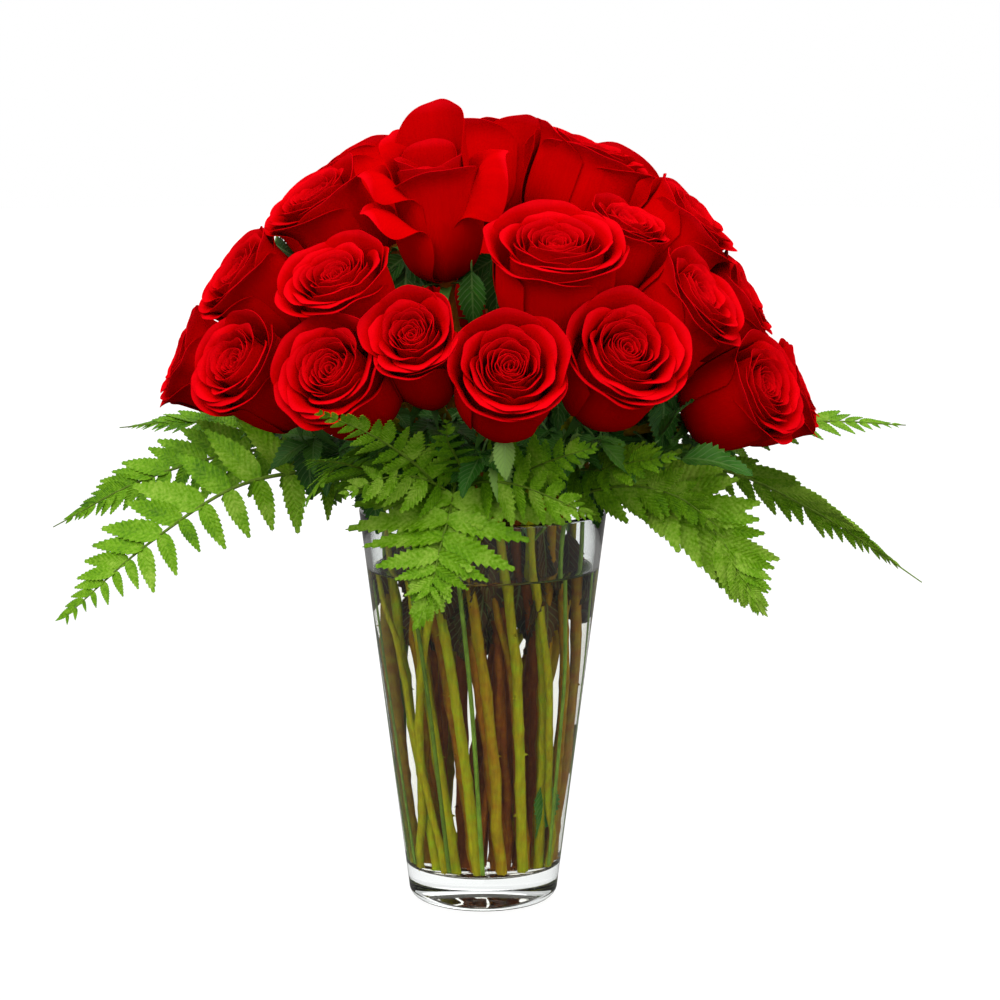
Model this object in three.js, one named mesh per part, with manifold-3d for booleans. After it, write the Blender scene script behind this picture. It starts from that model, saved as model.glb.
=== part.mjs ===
// Two dozen red roses and ten fern fronds in a tapered glass vase of water.
// Millimetres, +Z up. The origin is the centre of the vase's foot, on the surface it stands on.
// -Y is the front of the bouquet and +X is its right-hand side.
import * as THREE from "three";
import { mergeVertices } from "three/addons/utils/BufferGeometryUtils.js";
import Module from "manifold-3d";

const wasm = await Module();
wasm.setup();

// ---- Driving dimensions -------------------------------------------------------------------

const GAP = 0.35; // clearance kept between pieces that touch

// Vase: a straight taper with a thick, round-cornered foot and a rounded lip.
const VASE_HEIGHT = 230;
const RIM_RADIUS = 71.5;
const FOOT_RADIUS = 42.5; // where the wall's line would meet the surface
const FOOT_CORNER = 7;
const WALL = 3.5;
const FLOOR_Z = 20; // top of the solid glass foot
const FLOOR_FILLET = 5;
const VASE_SEGMENTS = 36;
const WATER_LEVEL = 195;

// Rose stems: cut to stand on the glass floor.
const STEM_RADIUS = 2.9;
const STEM_SIDES = 6;
const STEM_STEPS = 8;
const GLASS_CLEARANCE = 1.2;
const MOUTH_Z = 235; // where the stems leave the vase's cone and fan out
const CUT_Z = FLOOR_Z + 0.8; // the lowest cut end
const BEND_PULL = 0.42; // how far each end's direction carries into the bend between them
const HIP_RADIUS = 5.6; // the swollen calyx under each bloom
const HIP_LENGTH = 9;

// A rose leaf: where it leaves its stem (share of the stem's curve), and its blade.
const LEAF_AT = 0.86;
const LEAF_WIDTH = 0.52; // of its length
const LEAF_OVAL = [[0.3, 0.55], [0.52, 1], [0.78, 0.7]]; // shares of length and half width
const LEAF_THICKNESS = 0.8;
const LEAF_STALK_LENGTH = 0.16; // of the leaf's length
const LEAF_STALK_WIDTH = 1.8;

// Ferns: a wiry stalk and a thin blade of toothed leaflets.
const STALK_RADIUS = 1.3;
const STALK_CUT_Z = CUT_Z + 2; // clear of the fillet round the glass floor
const STALK_SIDES = 5;
const STALK_STEPS = 10;
const STALK_OVERLAP = 0.015; // share of the frond's curve where stalk and blade are one
const BLADE_THICKNESS = 1;
const LEAFLET_PAIRS = 7;
const FIRST_LEAFLET = 0.095; // where the lowest pair starts, as a share of the blade
const LEAFLET_PITCH = 0.135;
const LEAFLET_HALF_FOOT = 0.05;
const LEAFLET_SWEEP = 0.06; // how far forward each leaflet's tip points
const RIB_HALF_WIDTH = 2;

// How far round the stems spiral from the mouth to the floor, in degrees, by ring of the bundle.
const TWIST = { fern: 14, low: 34, middle: 62, top: 88 };
// How far out each ring stands, as a share of the radius that is free inside the glass.
const RING = { fern: 0.98, low: 0.77, middle: 0.5, top: 0.21 };

// ---- The flowers --------------------------------------------------------------------------
// middle: halfway between the bloom's base and its open top. lean: compass direction that it
// faces (0 is +X, -90 is the front) and degrees away from straight up. size: width across the
// petals and height. slot: compass direction of its stem in the vase's mouth. leaf, where there is
// one: its compass direction, its slope down in degrees and its length. The first ring of stems
// stands near the glass and carries the lowest blooms.

const ROSES = [
  ...inRing("low", [
    { middle: [-118, -92, 313], lean: [-136, 58], size: [60, 66], slot: -152, leaf: [-165, 20, 44] },
    { middle: [-70, -136, 316], lean: [-119, 59], size: [66, 60], slot: -128, leaf: [-140, 25, 44] },
    { middle: [-32, -142, 331], lean: [-102, 53], size: [52, 68], slot: -104, leaf: [-92, 8, 40] },
    { middle: [13, -154, 318], lean: [-84, 56], size: [66, 62], slot: -80, leaf: [-86, 30, 46] },
    { middle: [70, -131, 323], lean: [-68, 54], size: [70, 66], slot: -56, leaf: [-48, 20, 46] },
    { middle: [139, -66, 300], lean: [-34, 66], size: [66, 60], slot: -30, leaf: [-34, 5, 40] },
    { middle: [162, -2, 291], lean: [-6, 66], size: [58, 54], slot: -5, leaf: [14, 15, 40] },
    { middle: [-150, -22, 311], lean: [-172, 66], size: [60, 56], slot: -176, leaf: [-164, 10, 42] },
    { middle: [-106, 80, 316], lean: [142, 66], size: [84, 60], slot: 136, leaf: [116, 14, 46] },
    { middle: [2, 110, 340], lean: [90, 60], size: [88, 62], slot: 88, leaf: [94, 20, 50] },
    { middle: [106, 76, 316], lean: [36, 66], size: [84, 60], slot: 40, leaf: [66, 14, 46] },
  ]),
  ...inRing("middle", [
    { middle: [-71, -112, 357], lean: [-122, 36], size: [64, 56], slot: -124 },
    { middle: [39, -114, 370], lean: [-84, 25], size: [80, 60], slot: -84 },
    { middle: [103, -88, 346], lean: [-24, 52], size: [64, 60], slot: -52 },
    { middle: [129, -28, 344], lean: [-8, 58], size: [60, 56], slot: -18 },
    { middle: [-121, -40, 355], lean: [-158, 50], size: [62, 58], slot: 164 },
    { middle: [-82, -34, 392], lean: [-152, 34], size: [64, 60], slot: -160 },
    { middle: [102, -36, 381], lean: [-12, 44], size: [66, 64], slot: 16 },
    { middle: [-66, 58, 399], lean: [138, 38], size: [76, 60], slot: 126 },
    { middle: [74, 56, 393], lean: [42, 42], size: [76, 60], slot: 54 },
  ]),
  ...inRing("top", [
    { middle: [-26, -58, 411], lean: [-140, 11], size: [72, 94], slot: -130 },
    { middle: [6, 24, 418], lean: [92, 16], size: [68, 64], slot: 104 },
    { middle: [53, -18, 413], lean: [-4, 20], size: [74, 62], slot: 14 },
    { middle: [72, -76, 382], lean: [-34, 28], size: [48, 50], slot: -58 },
  ]),
];

function inRing(ring, roses) {
  return roses.map((rose) => ({ ...rose, ring }));
}

// ---- The ferns ----------------------------------------------------------------------------
// slot: compass direction of the stalk in the mouth. way: points along the midrib from the rim
// outwards. across: the way that the blade's width runs. width: of the widest leaflet pair.

const FERNS = [
  {
    slot: -172,
    way: [[-90, -34, 254], [-134, -46, 250], [-186, -54, 218], [-232, -58, 178]],
    across: [0.2, -0.5, -1],
    width: 62,
  },
  {
    slot: 174,
    way: [[-90, -4, 264], [-140, -6, 262], [-196, -8, 246], [-246, -12, 220]],
    across: [0.2, -0.5, -1],
    width: 52,
  },
  {
    slot: 154,
    way: [[-84, 26, 256], [-128, 36, 266], [-172, 40, 274], [-214, 44, 270]],
    across: [0, -1, -0.5],
    width: 46,
  },
  {
    slot: -104,
    way: [[-14, -88, 252], [-18, -108, 240], [-24, -120, 216], [-34, -122, 186]],
    across: [1, 0, 0.1],
    width: 92,
  },
  {
    slot: -132,
    way: [[-44, -90, 258], [-58, -122, 268], [-74, -150, 277], [-88, -176, 282]],
    across: [0.8, -0.3, 0.4],
    width: 44,
  },
  {
    slot: -40,
    way: [[80, -58, 250], [106, -80, 247], [132, -88, 224], [154, -92, 184]],
    across: [1, -0.3, 0.5],
    width: 70,
  },
  {
    slot: -12,
    way: [[90, -16, 258], [140, -26, 254], [196, -34, 228], [248, -40, 193]],
    across: [0.25, -0.7, 0.7],
    width: 54,
  },
  {
    slot: 20,
    way: [[88, 26, 256], [140, 34, 264], [196, 38, 274], [248, 40, 272]],
    across: [0, -1, -0.5],
    width: 46,
  },
  {
    slot: 64,
    way: [[40, 84, 252], [62, 126, 256], [84, 172, 240], [100, 212, 208]],
    across: [1, -0.5, -0.2],
    width: 74,
  },
  {
    slot: 112,
    way: [[-40, 84, 252], [-62, 130, 252], [-84, 176, 232], [-98, 212, 200]],
    across: [1, 0.5, 0.2],
    width: 74,
  },
];

// ---- Small helpers ------------------------------------------------------------------------

const rad = THREE.MathUtils.degToRad;
const up = new THREE.Vector3(0, 0, 1);

function vec(list) {
  return new THREE.Vector3(...list);
}

// Unit vector leaning `tilt` degrees from straight up towards compass direction `heading`.
function facing([heading, tilt]) {
  const out = Math.sin(rad(tilt));
  return new THREE.Vector3(
    out * Math.cos(rad(heading)),
    out * Math.sin(rad(heading)),
    Math.cos(rad(tilt)),
  );
}

// A closed three.js geometry as a solid that can be joined and cut.
function solid(geometry) {
  const bare = geometry.clone();
  bare.deleteAttribute("normal");
  bare.deleteAttribute("uv");
  const merged = mergeVertices(bare, 1e-3);
  const made = new wasm.Manifold(
    new wasm.Mesh({
      numProp: 3,
      vertProperties: merged.attributes.position.array,
      triVerts: new Uint32Array(merged.index.array),
    }),
  );
  return made;
}

function geometryOf(manifold) {
  const mesh = manifold.getMesh();
  return new THREE.BufferGeometry()
    .setAttribute("position", new THREE.BufferAttribute(new Float32Array(mesh.vertProperties), 3))
    .setIndex(new THREE.BufferAttribute(new Uint32Array(mesh.triVerts), 1));
}

// LatheGeometry spins about +Y, so its profiles are drawn (radius, height) and turned to +Z here.
function turned(profile, segments) {
  const points = profile.map(([r, z]) => new THREE.Vector2(r, z));
  return new THREE.LatheGeometry(points, segments).rotateX(Math.PI / 2);
}

function arc(cx, cz, radius, from, to, steps) {
  return Array.from({ length: steps + 1 }, (_, i) => {
    const a = rad(from + ((to - from) * i) / steps);
    return [cx + radius * Math.cos(a), cz + radius * Math.sin(a)];
  });
}

function tube(curve, radius, sides, steps) {
  const section = new THREE.Shape();
  for (let i = 0; i < sides; i++) {
    const a = (i / sides) * 2 * Math.PI;
    const [x, y] = [radius * Math.cos(a), radius * Math.sin(a)];
    if (i) section.lineTo(x, y);
    else section.moveTo(x, y);
  }
  return new THREE.ExtrudeGeometry(section, { steps, extrudePath: curve });
}

// ---- Vase and water -----------------------------------------------------------------------

const slope = (RIM_RADIUS - FOOT_RADIUS) / VASE_HEIGHT;
const outerRadius = (z) => FOOT_RADIUS + slope * z;
const innerRadius = (z) => outerRadius(z) - WALL;

function vaseProfile() {
  const corner = FOOT_CORNER;
  const lip = WALL / 2;
  const topZ = VASE_HEIGHT - lip;
  return [
    [0, 0],
    ...arc(outerRadius(corner) - corner, corner, corner, -90, 0, 4),
    ...arc(outerRadius(topZ) - lip, topZ, lip, 0, 180, 4),
    ...arc(innerRadius(FLOOR_Z) - FLOOR_FILLET, FLOOR_Z + FLOOR_FILLET, FLOOR_FILLET, 0, -90, 3),
    [0, FLOOR_Z],
  ];
}

// The space that the water fills: the cavity, held GAP off the glass.
function waterProfile() {
  const low = FLOOR_Z + GAP;
  const fillet = FLOOR_FILLET;
  return [
    [0, low],
    ...arc(innerRadius(FLOOR_Z) - GAP - fillet, low + fillet, fillet, -90, 0, 3),
    [innerRadius(WATER_LEVEL) - GAP, WATER_LEVEL],
    [0, WATER_LEVEL],
  ];
}

// ---- Stems --------------------------------------------------------------------------------

// A place in the bundle at height z: rings scale with the free radius and turn as they go down,
// so no two stems ever cross.
function inVase(ring, heading, z, radius) {
  const free = innerRadius(z) - radius - GLASS_CLEARANCE;
  const down = (MOUTH_Z - z) / (MOUTH_Z - CUT_Z);
  const a = rad(heading + TWIST[ring] * down);
  const out = RING[ring] * free;
  return new THREE.Vector3(out * Math.cos(a), out * Math.sin(a), z);
}

function vasePoints(ring, heading, radius, bottom) {
  const heights = [0, 0.5, 1].map((t) => bottom + (MOUTH_Z - bottom) * t);
  return heights.map((z) => inVase(ring, heading, z, radius));
}

// A smooth curve that is stepped evenly between its points, not along its length, so the bends
// above the rim get as many steps as the long straight stretch in the vase.
function route(points) {
  const curve = new THREE.CatmullRomCurve3(points);
  curve.getUtoTmapping = (u) => u;
  return curve;
}

function bloomBase(rose) {
  return vec(rose.middle).addScaledVector(facing(rose.lean), -rose.size[1] / 2);
}

// From the cut end on the glass floor, up through the mouth and round to the bloom's own axis.
function stemPath(rose, bottom) {
  const axis = facing(rose.lean);
  const end = bloomBase(rose).addScaledVector(axis, -GAP - HIP_LENGTH / 2);
  const points = vasePoints(rose.ring, rose.slot, STEM_RADIUS, bottom);
  const mouth = points[points.length - 1];
  const pull = BEND_PULL * end.distanceTo(mouth);
  const underBloom = end.clone().addScaledVector(axis, -pull);
  const aboveMouth = mouth.clone().addScaledVector(up, pull);
  return route([...points, underBloom.lerp(aboveMouth, 0.35), end]);
}

function hip(rose) {
  const axis = facing(rose.lean);
  const profile = [
    [0, -HIP_LENGTH],
    [STEM_RADIUS * 0.9, -HIP_LENGTH],
    [HIP_RADIUS, -HIP_LENGTH * 0.3],
    [HIP_RADIUS * 0.8, 0],
    [0, 0],
  ];
  const base = bloomBase(rose).addScaledVector(axis, -GAP);
  const turn = new THREE.Quaternion().setFromUnitVectors(up, axis);
  return turned(profile, STEM_SIDES).applyQuaternion(turn).translate(...base.toArray());
}

// A pointed oval blade on a short stalk, drawn along x and then turned to its direction.
function leafBlade(rose, path) {
  const [heading, droop, length] = rose.leaf;
  const half = (length * LEAF_WIDTH) / 2;
  const side = LEAF_OVAL.map(([x, y]) => [x * length, y * half]);
  const back = side.map(([x, y]) => [x, -y]).reverse();
  const stalk = LEAF_STALK_LENGTH * length;
  const w = LEAF_STALK_WIDTH / 2;
  const outline = [[0, w], [stalk, w], ...side, [length, 0], ...back, [stalk, -w], [0, -w]];
  const shape = new THREE.Shape(outline.map(([x, y]) => new THREE.Vector2(x, y)));
  const blade = new THREE.ExtrudeGeometry(shape, { depth: LEAF_THICKNESS, bevelEnabled: false });
  const from = path.getPoint(LEAF_AT);
  blade.translate(0, 0, -LEAF_THICKNESS / 2).rotateY(rad(droop)).rotateZ(rad(heading));
  return solid(blade.translate(...from.toArray()));
}

// ---- Blooms -------------------------------------------------------------------------------

// Cup and flared rim as shares of the bloom's half width and height, from base to centre.
const RIM_SHARE = 0.9; // height of the widest point
const BLOOM_PROFILE = [
  [0, 0],
  [0.17, 0],
  [0.5, 0.1],
  [0.76, 0.34],
  [0.86, 0.62],
  [1, RIM_SHARE],
  [0.86, 1],
  [0.42, 0.95],
  [0, 0.9],
];
const BLOOM_SEGMENTS = 10;
const LOBES = 5; // outer petals that show round the rim
const LOBE_DEPTH = 0.07;

function bloomSolid(rose, grow = 0) {
  const [width, height] = rose.size;
  const profile = BLOOM_PROFILE.map(([r, z]) => [r * (width / 2 + grow), z * (height + 2 * grow) - grow]);
  const cup = turned(profile, BLOOM_SEGMENTS);
  const place = cup.attributes.position;
  const rimZ = RIM_SHARE * height;
  for (let i = 0; i < place.count; i++) {
    const [x, y, z] = [place.getX(i), place.getY(i), place.getZ(i)];
    const wave = 1 + LOBE_DEPTH * Math.max(0, z / rimZ) * Math.cos(LOBES * Math.atan2(y, x));
    place.setXY(i, x * wave, y * wave);
  }
  const axis = facing(rose.lean);
  const turn = new THREE.Quaternion().setFromUnitVectors(up, axis);
  return solid(cup.applyQuaternion(turn).translate(...bloomBase(rose).toArray()));
}

// ---- Ferns --------------------------------------------------------------------------------

// The whole frond's curve, and the share of it that is bare stalk.
function fernPath(fern, bottom) {
  const points = vasePoints("fern", fern.slot, STALK_RADIUS, bottom);
  const whole = new THREE.CatmullRomCurve3([...points, ...fern.way.map(vec)]);
  return { whole, bare: points.length / (points.length + fern.way.length - 1) };
}

// The stalk alone, run a little way into the blade that it carries.
function stalkPath(fern, bottom) {
  const { whole, bare } = fernPath(fern, bottom);
  const step = (bare + STALK_OVERLAP) / STALK_STEPS;
  return route(Array.from({ length: STALK_STEPS + 1 }, (_, i) => whole.getPoint(i * step)));
}

// The toothed blade of a frond, drawn flat: x runs from the blade's foot (0) to its tip (1).
// It is a narrow rib with a triangular leaflet on each side at every pair. The leaflets get
// shorter towards the tip, and the lowest pair is a little short too. Each face is short enough
// to follow the frond's curve, so the blade's two sides never cross.
function frondPattern(width) {
  const edge = RIB_HALF_WIDTH;
  const corners = [[0, edge / 3], [0, -edge / 3]];
  const faces = [];
  let last = 0; // the first of the two corners that end the rib so far
  for (let i = 0; i < LEAFLET_PAIRS; i++) {
    const along = FIRST_LEAFLET + i * LEAFLET_PITCH;
    const reach = ((i ? Math.min(1, 1.23 - 1.15 * along) : 0.8) * width) / 2;
    const [near, far] = [along - LEAFLET_HALF_FOOT, along + LEAFLET_HALF_FOOT];
    const a = corners.length;
    corners.push([near, edge], [near, -edge], [far, edge], [far, -edge]);
    corners.push([along + LEAFLET_SWEEP, reach], [along + LEAFLET_SWEEP, -reach]);
    faces.push([last, last + 1, a + 1], [last, a + 1, a], [a, a + 1, a + 3], [a, a + 3, a + 2]);
    faces.push([a, a + 2, a + 4], [a + 1, a + 5, a + 3]);
    last = a + 2;
  }
  faces.push([last, last + 1, corners.push([1, 0]) - 1]);
  return { corners, faces };
}

// The two sides of a flat pattern and the edge between them, as faces of one closed body.
// The front's corners come first, then the back's.
function thickened(faces, count) {
  const back = (i) => i + count;
  const key = (p, q) => `${p},${q}`;
  const sides = faces.flatMap(([p, q, r]) => [[p, q], [q, r], [r, p]]);
  const used = new Set(sides.map(([p, q]) => key(p, q)));
  const rim = sides.filter(([p, q]) => !used.has(key(q, p)));
  return [
    ...faces,
    ...faces.map(([p, q, r]) => [back(r), back(q), back(p)]),
    ...rim.flatMap(([p, q]) => [[q, p, back(p)], [q, back(p), back(q)]]),
  ];
}

function frondBlade(fern) {
  const { whole, bare } = fernPath(fern, STALK_CUT_Z);
  const hint = vec(fern.across).normalize();
  const { corners, faces } = frondPattern(fern.width);
  const places = [0.5, -0.5].flatMap((side) =>
    corners.map(([along, out]) => {
      const t = Math.min(1, bare + (1 - bare) * along);
      const run = whole.getTangent(t);
      const across = hint.clone().addScaledVector(run, -hint.dot(run)).normalize();
      const face = new THREE.Vector3().crossVectors(run, across);
      const at = whole.getPoint(t).addScaledVector(across, out);
      return at.addScaledVector(face, side * BLADE_THICKNESS);
    }),
  );
  const blade = new THREE.BufferGeometry().setFromPoints(places);
  blade.setIndex(thickened(faces, corners.length).flat());
  return solid(blade);
}

// ---- Assembly -----------------------------------------------------------------------------

const FINISH = {
  glass: { color: 0xe8eeee, roughness: 0.03, transparent: true, opacity: 0.35 },
  water: { color: 0xdfe4dc, roughness: 0.0, transparent: true, opacity: 0.3 },
  petal: { color: 0xc40412, roughness: 0.6 },
  stem: { color: 0x6b7a28, roughness: 0.6 },
  fern: { color: 0x4f8a1c, roughness: 0.55 },
};

const bouquet = new THREE.Group();

function add(name, geometry, finish) {
  const mesh = new THREE.Mesh(geometry, new THREE.MeshStandardMaterial(FINISH[finish]));
  mesh.name = name;
  bouquet.add(mesh);
}

const number = (i) => String(i + 1).padStart(2, "0");

add("vase", turned(vaseProfile(), VASE_SEGMENTS), "glass");

let water = solid(turned(waterProfile(), VASE_SEGMENTS));

ROSES.forEach((rose, i) => {
  const path = stemPath(rose, CUT_Z);
  let stem = solid(tube(path, STEM_RADIUS, STEM_SIDES, STEM_STEPS)).add(solid(hip(rose)));
  if (rose.leaf) stem = stem.add(leafBlade(rose, path));
  add(`rose_${number(i)}_stem`, geometryOf(stem), "stem");
  water = water.subtract(
    solid(tube(stemPath(rose, CUT_Z - 2 * GAP), STEM_RADIUS + GAP, STEM_SIDES, STEM_STEPS)),
  );
});

FERNS.forEach((fern, i) => {
  const stalk = solid(tube(stalkPath(fern, STALK_CUT_Z), STALK_RADIUS, STALK_SIDES, STALK_STEPS));
  add(`fern_${number(i)}`, geometryOf(stalk.add(frondBlade(fern))), "fern");
  water = water.subtract(
    solid(tube(stalkPath(fern, STALK_CUT_Z - 2 * GAP), STALK_RADIUS + GAP, STALK_SIDES, STALK_STEPS)),
  );
});

add("water", geometryOf(water), "water");

// Petals that press on each other: each bloom gives way to the ones listed before it.
const whole = ROSES.map((rose) => bloomSolid(rose));
const grown = ROSES.map((rose) => bloomSolid(rose, GAP));
ROSES.forEach((rose, i) => {
  let bloom = whole[i];
  for (let j = 0; j < i; j++) bloom = bloom.subtract(grown[j]);
  add(`rose_${number(i)}_bloom`, geometryOf(bloom), "petal");
});

export default bouquet;
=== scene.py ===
# %% [markdown]
# # Two dozen red roses in a glass vase
#
# A florist's bouquet: twenty-four red roses, ten leatherleaf fern fronds, twelve short
# sprigs of the same fern round the collar, eighteen leafy side branches, and a tapered
# vase of clear glass, nearly full of water. The solid model gives every piece its place
# and size. Here each of its plain solids is replaced by a piece that looks real: petals
# instead of cups, toothed leaflets instead of flat blades.
#
# Tables are in millimetres, as a florist would measure. Blender works in metres, so
# `MM` turns one into the other. The front of the bouquet faces -Y.

# %% Load the fixed frame
import math
from functools import partial

import bpy
import numpy as np
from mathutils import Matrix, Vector
from mathutils.bvhtree import BVHTree


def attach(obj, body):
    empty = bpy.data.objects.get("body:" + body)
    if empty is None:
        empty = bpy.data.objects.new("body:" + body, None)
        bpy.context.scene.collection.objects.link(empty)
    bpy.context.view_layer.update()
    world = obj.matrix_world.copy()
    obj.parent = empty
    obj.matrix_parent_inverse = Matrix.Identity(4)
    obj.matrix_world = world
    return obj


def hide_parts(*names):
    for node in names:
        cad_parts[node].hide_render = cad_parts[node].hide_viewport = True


MM = 0.001
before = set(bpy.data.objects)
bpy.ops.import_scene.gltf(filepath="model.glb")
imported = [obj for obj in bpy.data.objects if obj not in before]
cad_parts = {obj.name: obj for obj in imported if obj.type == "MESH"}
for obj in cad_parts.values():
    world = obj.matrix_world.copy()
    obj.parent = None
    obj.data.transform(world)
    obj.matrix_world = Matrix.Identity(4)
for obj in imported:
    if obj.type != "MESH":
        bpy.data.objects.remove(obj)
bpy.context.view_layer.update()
SCENE = bpy.context.scene

# %% [markdown]
# A few small helpers serve every cell below. Colours are written as the hex codes that
# a colour picker shows, which are sRGB, but a shader wants linear light, so one function
# converts them. One function adds a node, with its settings and its links. One turns
# arrays of corners and faces into a mesh, which is smooth except where two faces meet at
# a sharp angle, and one shows a mesh as a finished piece of the bouquet.


# %% Helpers for colours, nodes and meshes
def linear(code):
    """#RRGGBB as the linear colour that a shader wants."""
    parts = [int(code[i : i + 2], 16) / 255 for i in (1, 3, 5)]
    light = [c / 12.92 if c <= 0.04045 else ((c + 0.055) / 1.055) ** 2.4 for c in parts]
    return (*light, 1.0)


def wire(node, links):
    """Gives a node's inputs their values, or the node or socket that feeds them."""
    for name, value in links.items():
        if isinstance(value, bpy.types.Node):
            value = value.outputs[0]
        if isinstance(value, bpy.types.NodeSocket):
            node.id_data.links.new(value, node.inputs[name])
        else:
            node.inputs[name].default_value = value
    return node


def add_node(tree, kind, links=None, **settings):
    """Adds one node: settings are its properties, links its inputs' values or sources."""
    node = tree.nodes.new(kind)
    for name, value in settings.items():
        setattr(node, name, value)
    return wire(node, links or {})


def new_material(name):
    """A material, a function that adds nodes to it, and its Principled shader."""
    material = bpy.data.materials.new(name)
    material.use_nodes = True
    tree = material.node_tree
    return material, partial(add_node, tree), tree.nodes["Principled BSDF"]


def set_stops(node, stops):
    """Gives a colour ramp its stops, as (position, #RRGGBB) pairs."""
    ramp = node.color_ramp
    for element, (position, code) in zip(ramp.elements, (stops[0], stops[-1])):
        element.position, element.color = position, linear(code)
    for position, code in stops[1:-1]:
        ramp.elements.new(position).color = linear(code)


def keep_marks(mesh, marks):
    """Stores numbers at each corner of a mesh, under their names, for nodes to read."""
    for key, values in marks.items():
        values = np.broadcast_to(values, len(mesh.vertices)).astype(np.float32)
        mesh.attributes.new(key, "FLOAT", "POINT").data.foreach_set("value", values)


def smooth(mesh, sharp=60):
    mesh.polygons.foreach_set("use_smooth", [True] * len(mesh.polygons))
    mesh.set_sharp_from_angle(angle=math.radians(sharp))


def make_mesh(name, corners, faces, skins=(), marks=None, sharp=60):
    """A smooth mesh from corners in mm, with its materials and its marks."""
    mesh = bpy.data.meshes.new(name)
    faces = faces.tolist() if isinstance(faces, np.ndarray) else faces
    mesh.from_pydata((np.asarray(corners) * MM).tolist(), [], faces)
    for skin in skins:
        mesh.materials.append(skin)
    keep_marks(mesh, marks or {})
    smooth(mesh, sharp)
    return mesh


def show(name, data):
    """A new object in the scene, at the origin."""
    thing = bpy.data.objects.new(name, data)
    SCENE.collection.objects.link(thing)
    return thing


def place(name, mesh, slot, *nodes):
    """Shows a mesh as a piece of the bouquet that stands for these solids."""
    piece = show(name, mesh)
    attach(piece, "root")
    if nodes:
        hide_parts(*nodes)
    return piece


# %% [markdown]
# ## Camera, light and floor
#
# The photograph was taken from a little above the rim of the vase, from far enough
# away that the bouquet hardly tapers. A long lens 1.7 m away, tipped 8.9 degrees
# down, gives the same view: the ellipse of the rim tells the tilt, and the size of
# the nearest blooms against the farthest tells the distance.

# %% Camera
CAMERA_AT = (9.8, -1700, 500)
TIPPED_DOWN = 8.9
LENS, SENSOR = 107.6, 36
NEAREST_M, FARTHEST_M = 0.05, 60

camera = show("camera", bpy.data.cameras.new("camera"))
SCENE.camera = camera
camera.location = Vector(CAMERA_AT) * MM
camera.rotation_euler = (math.radians(90 - TIPPED_DOWN), 0, 0)
camera.data.lens, camera.data.sensor_width = LENS, SENSOR
camera.data.clip_start, camera.data.clip_end = NEAREST_M, FARTHEST_M
print("camera", LENS, "mm lens")

# %% [markdown]
# Product photographs of flowers use big soft lights, so that petals shade gently and
# only the gaps between them go dark. A sun lamp with a wide angle is as soft as a big
# panel and lights the whole floor evenly, so the floor stays pale to the horizon. The
# key stands up on the left, with a weaker one on the right and one behind. The world
# fills in the rest.
#
# Glass shows what it reflects. A white room would lay a grey veil over the stems, so
# rays that were mirrored on their way meet another room: dark in front, with pale
# panels at both sides and behind, which draw the bright edges of the vase. The eye
# still sees white paper, straight or through the glass.

# %% Lights and world
LIGHTS = {  # direction it comes from, degrees across, strength
    "key": ((-0.55, -1.0, 1.15), 50, 1.85),
    "fill": ((0.7, -1.0, 0.12), 70, 1.3),
    "back": ((0.2, 1.0, 0.9), 60, 0.6),
}
ROOM_LIGHT, MIRRORED_LIGHT = 1.12, 0.9
DARK_WALL, PALE_PANEL = linear("#3A3A3C"), linear("#E4E4E4")


def ray_kinds(add):
    """Whether a ray was mirrored on its way, and whether it comes straight from the eye."""
    ray = add("ShaderNodeLightPath").outputs
    mirrored = add(
        "ShaderNodeMath", {0: ray["Glossy Depth"], 1: 0.5}, operation="GREATER_THAN")
    through = add(
        "ShaderNodeMath", {0: ray["Is Transmission Ray"], 1: mirrored}, operation="SUBTRACT")
    seen = add("ShaderNodeMath", {0: ray["Is Camera Ray"], 1: through}, operation="MAXIMUM")
    return mirrored, seen


for name, (source, across, strength) in LIGHTS.items():
    light = bpy.data.lights.new(name, "SUN")
    light.angle, light.energy = math.radians(across), strength
    show(name, light).rotation_euler = Vector(source).to_track_quat("Z", "Y").to_euler()

SCENE.view_settings.view_transform = "Standard"
world = bpy.data.worlds.new("studio")
SCENE.world = world
world.use_nodes = True
world.node_tree.nodes.clear()
add = partial(add_node, world.node_tree)
mirrored, seen = ray_kinds(add)
way = add("ShaderNodeSeparateXYZ", {0: add("ShaderNodeTexCoord").outputs["Generated"]}).outputs
sky = add("ShaderNodeValToRGB", {0: way["Z"]})
set_stops(sky, ((0.0, "#8A8A8C"), (1.0, "#E6E8EA")))
beside = add("ShaderNodeMath", {0: way["X"]}, operation="ABSOLUTE")
edge = add("ShaderNodeMapRange", {"Value": beside, "From Min": 0.5, "From Max": 0.85})
behind = add("ShaderNodeMapRange", {"Value": way["Y"], "From Min": -0.92, "From Max": -0.5})
lit = add("ShaderNodeMath", {0: edge, 1: behind}, operation="MAXIMUM")
panels = add("ShaderNodeMix", {0: lit, 6: DARK_WALL, 7: PALE_PANEL}, data_type="RGBA")
room = add("ShaderNodeBackground", {0: sky, 1: ROOM_LIGHT})
mirrored_room = add("ShaderNodeBackground", {0: panels.outputs[2], 1: MIRRORED_LIGHT})
unseen = add("ShaderNodeMixShader", {0: mirrored, 1: room, 2: mirrored_room})
paper = add("ShaderNodeBackground", {0: linear("#FFFFFF"), 1: 1.0})
both = add("ShaderNodeMixShader", {0: seen, 1: unseen, 2: paper})
add("ShaderNodeOutputWorld", {0: both})
print(len(LIGHTS), "lights")

# %% [markdown]
# The floor is a painted board. It glows almost white to the eye, so that it meets the
# paper without a line, and hardly at all to mirrored rays, for the same reason as above.

# %% Floor
FLOOR_RADIUS = 7000
AIR = 0.2  # the glass is held up by a hair of air, as a real one is
SEEN_GLOW, MIRRORED_GLOW = 0.93, 0.04

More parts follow.
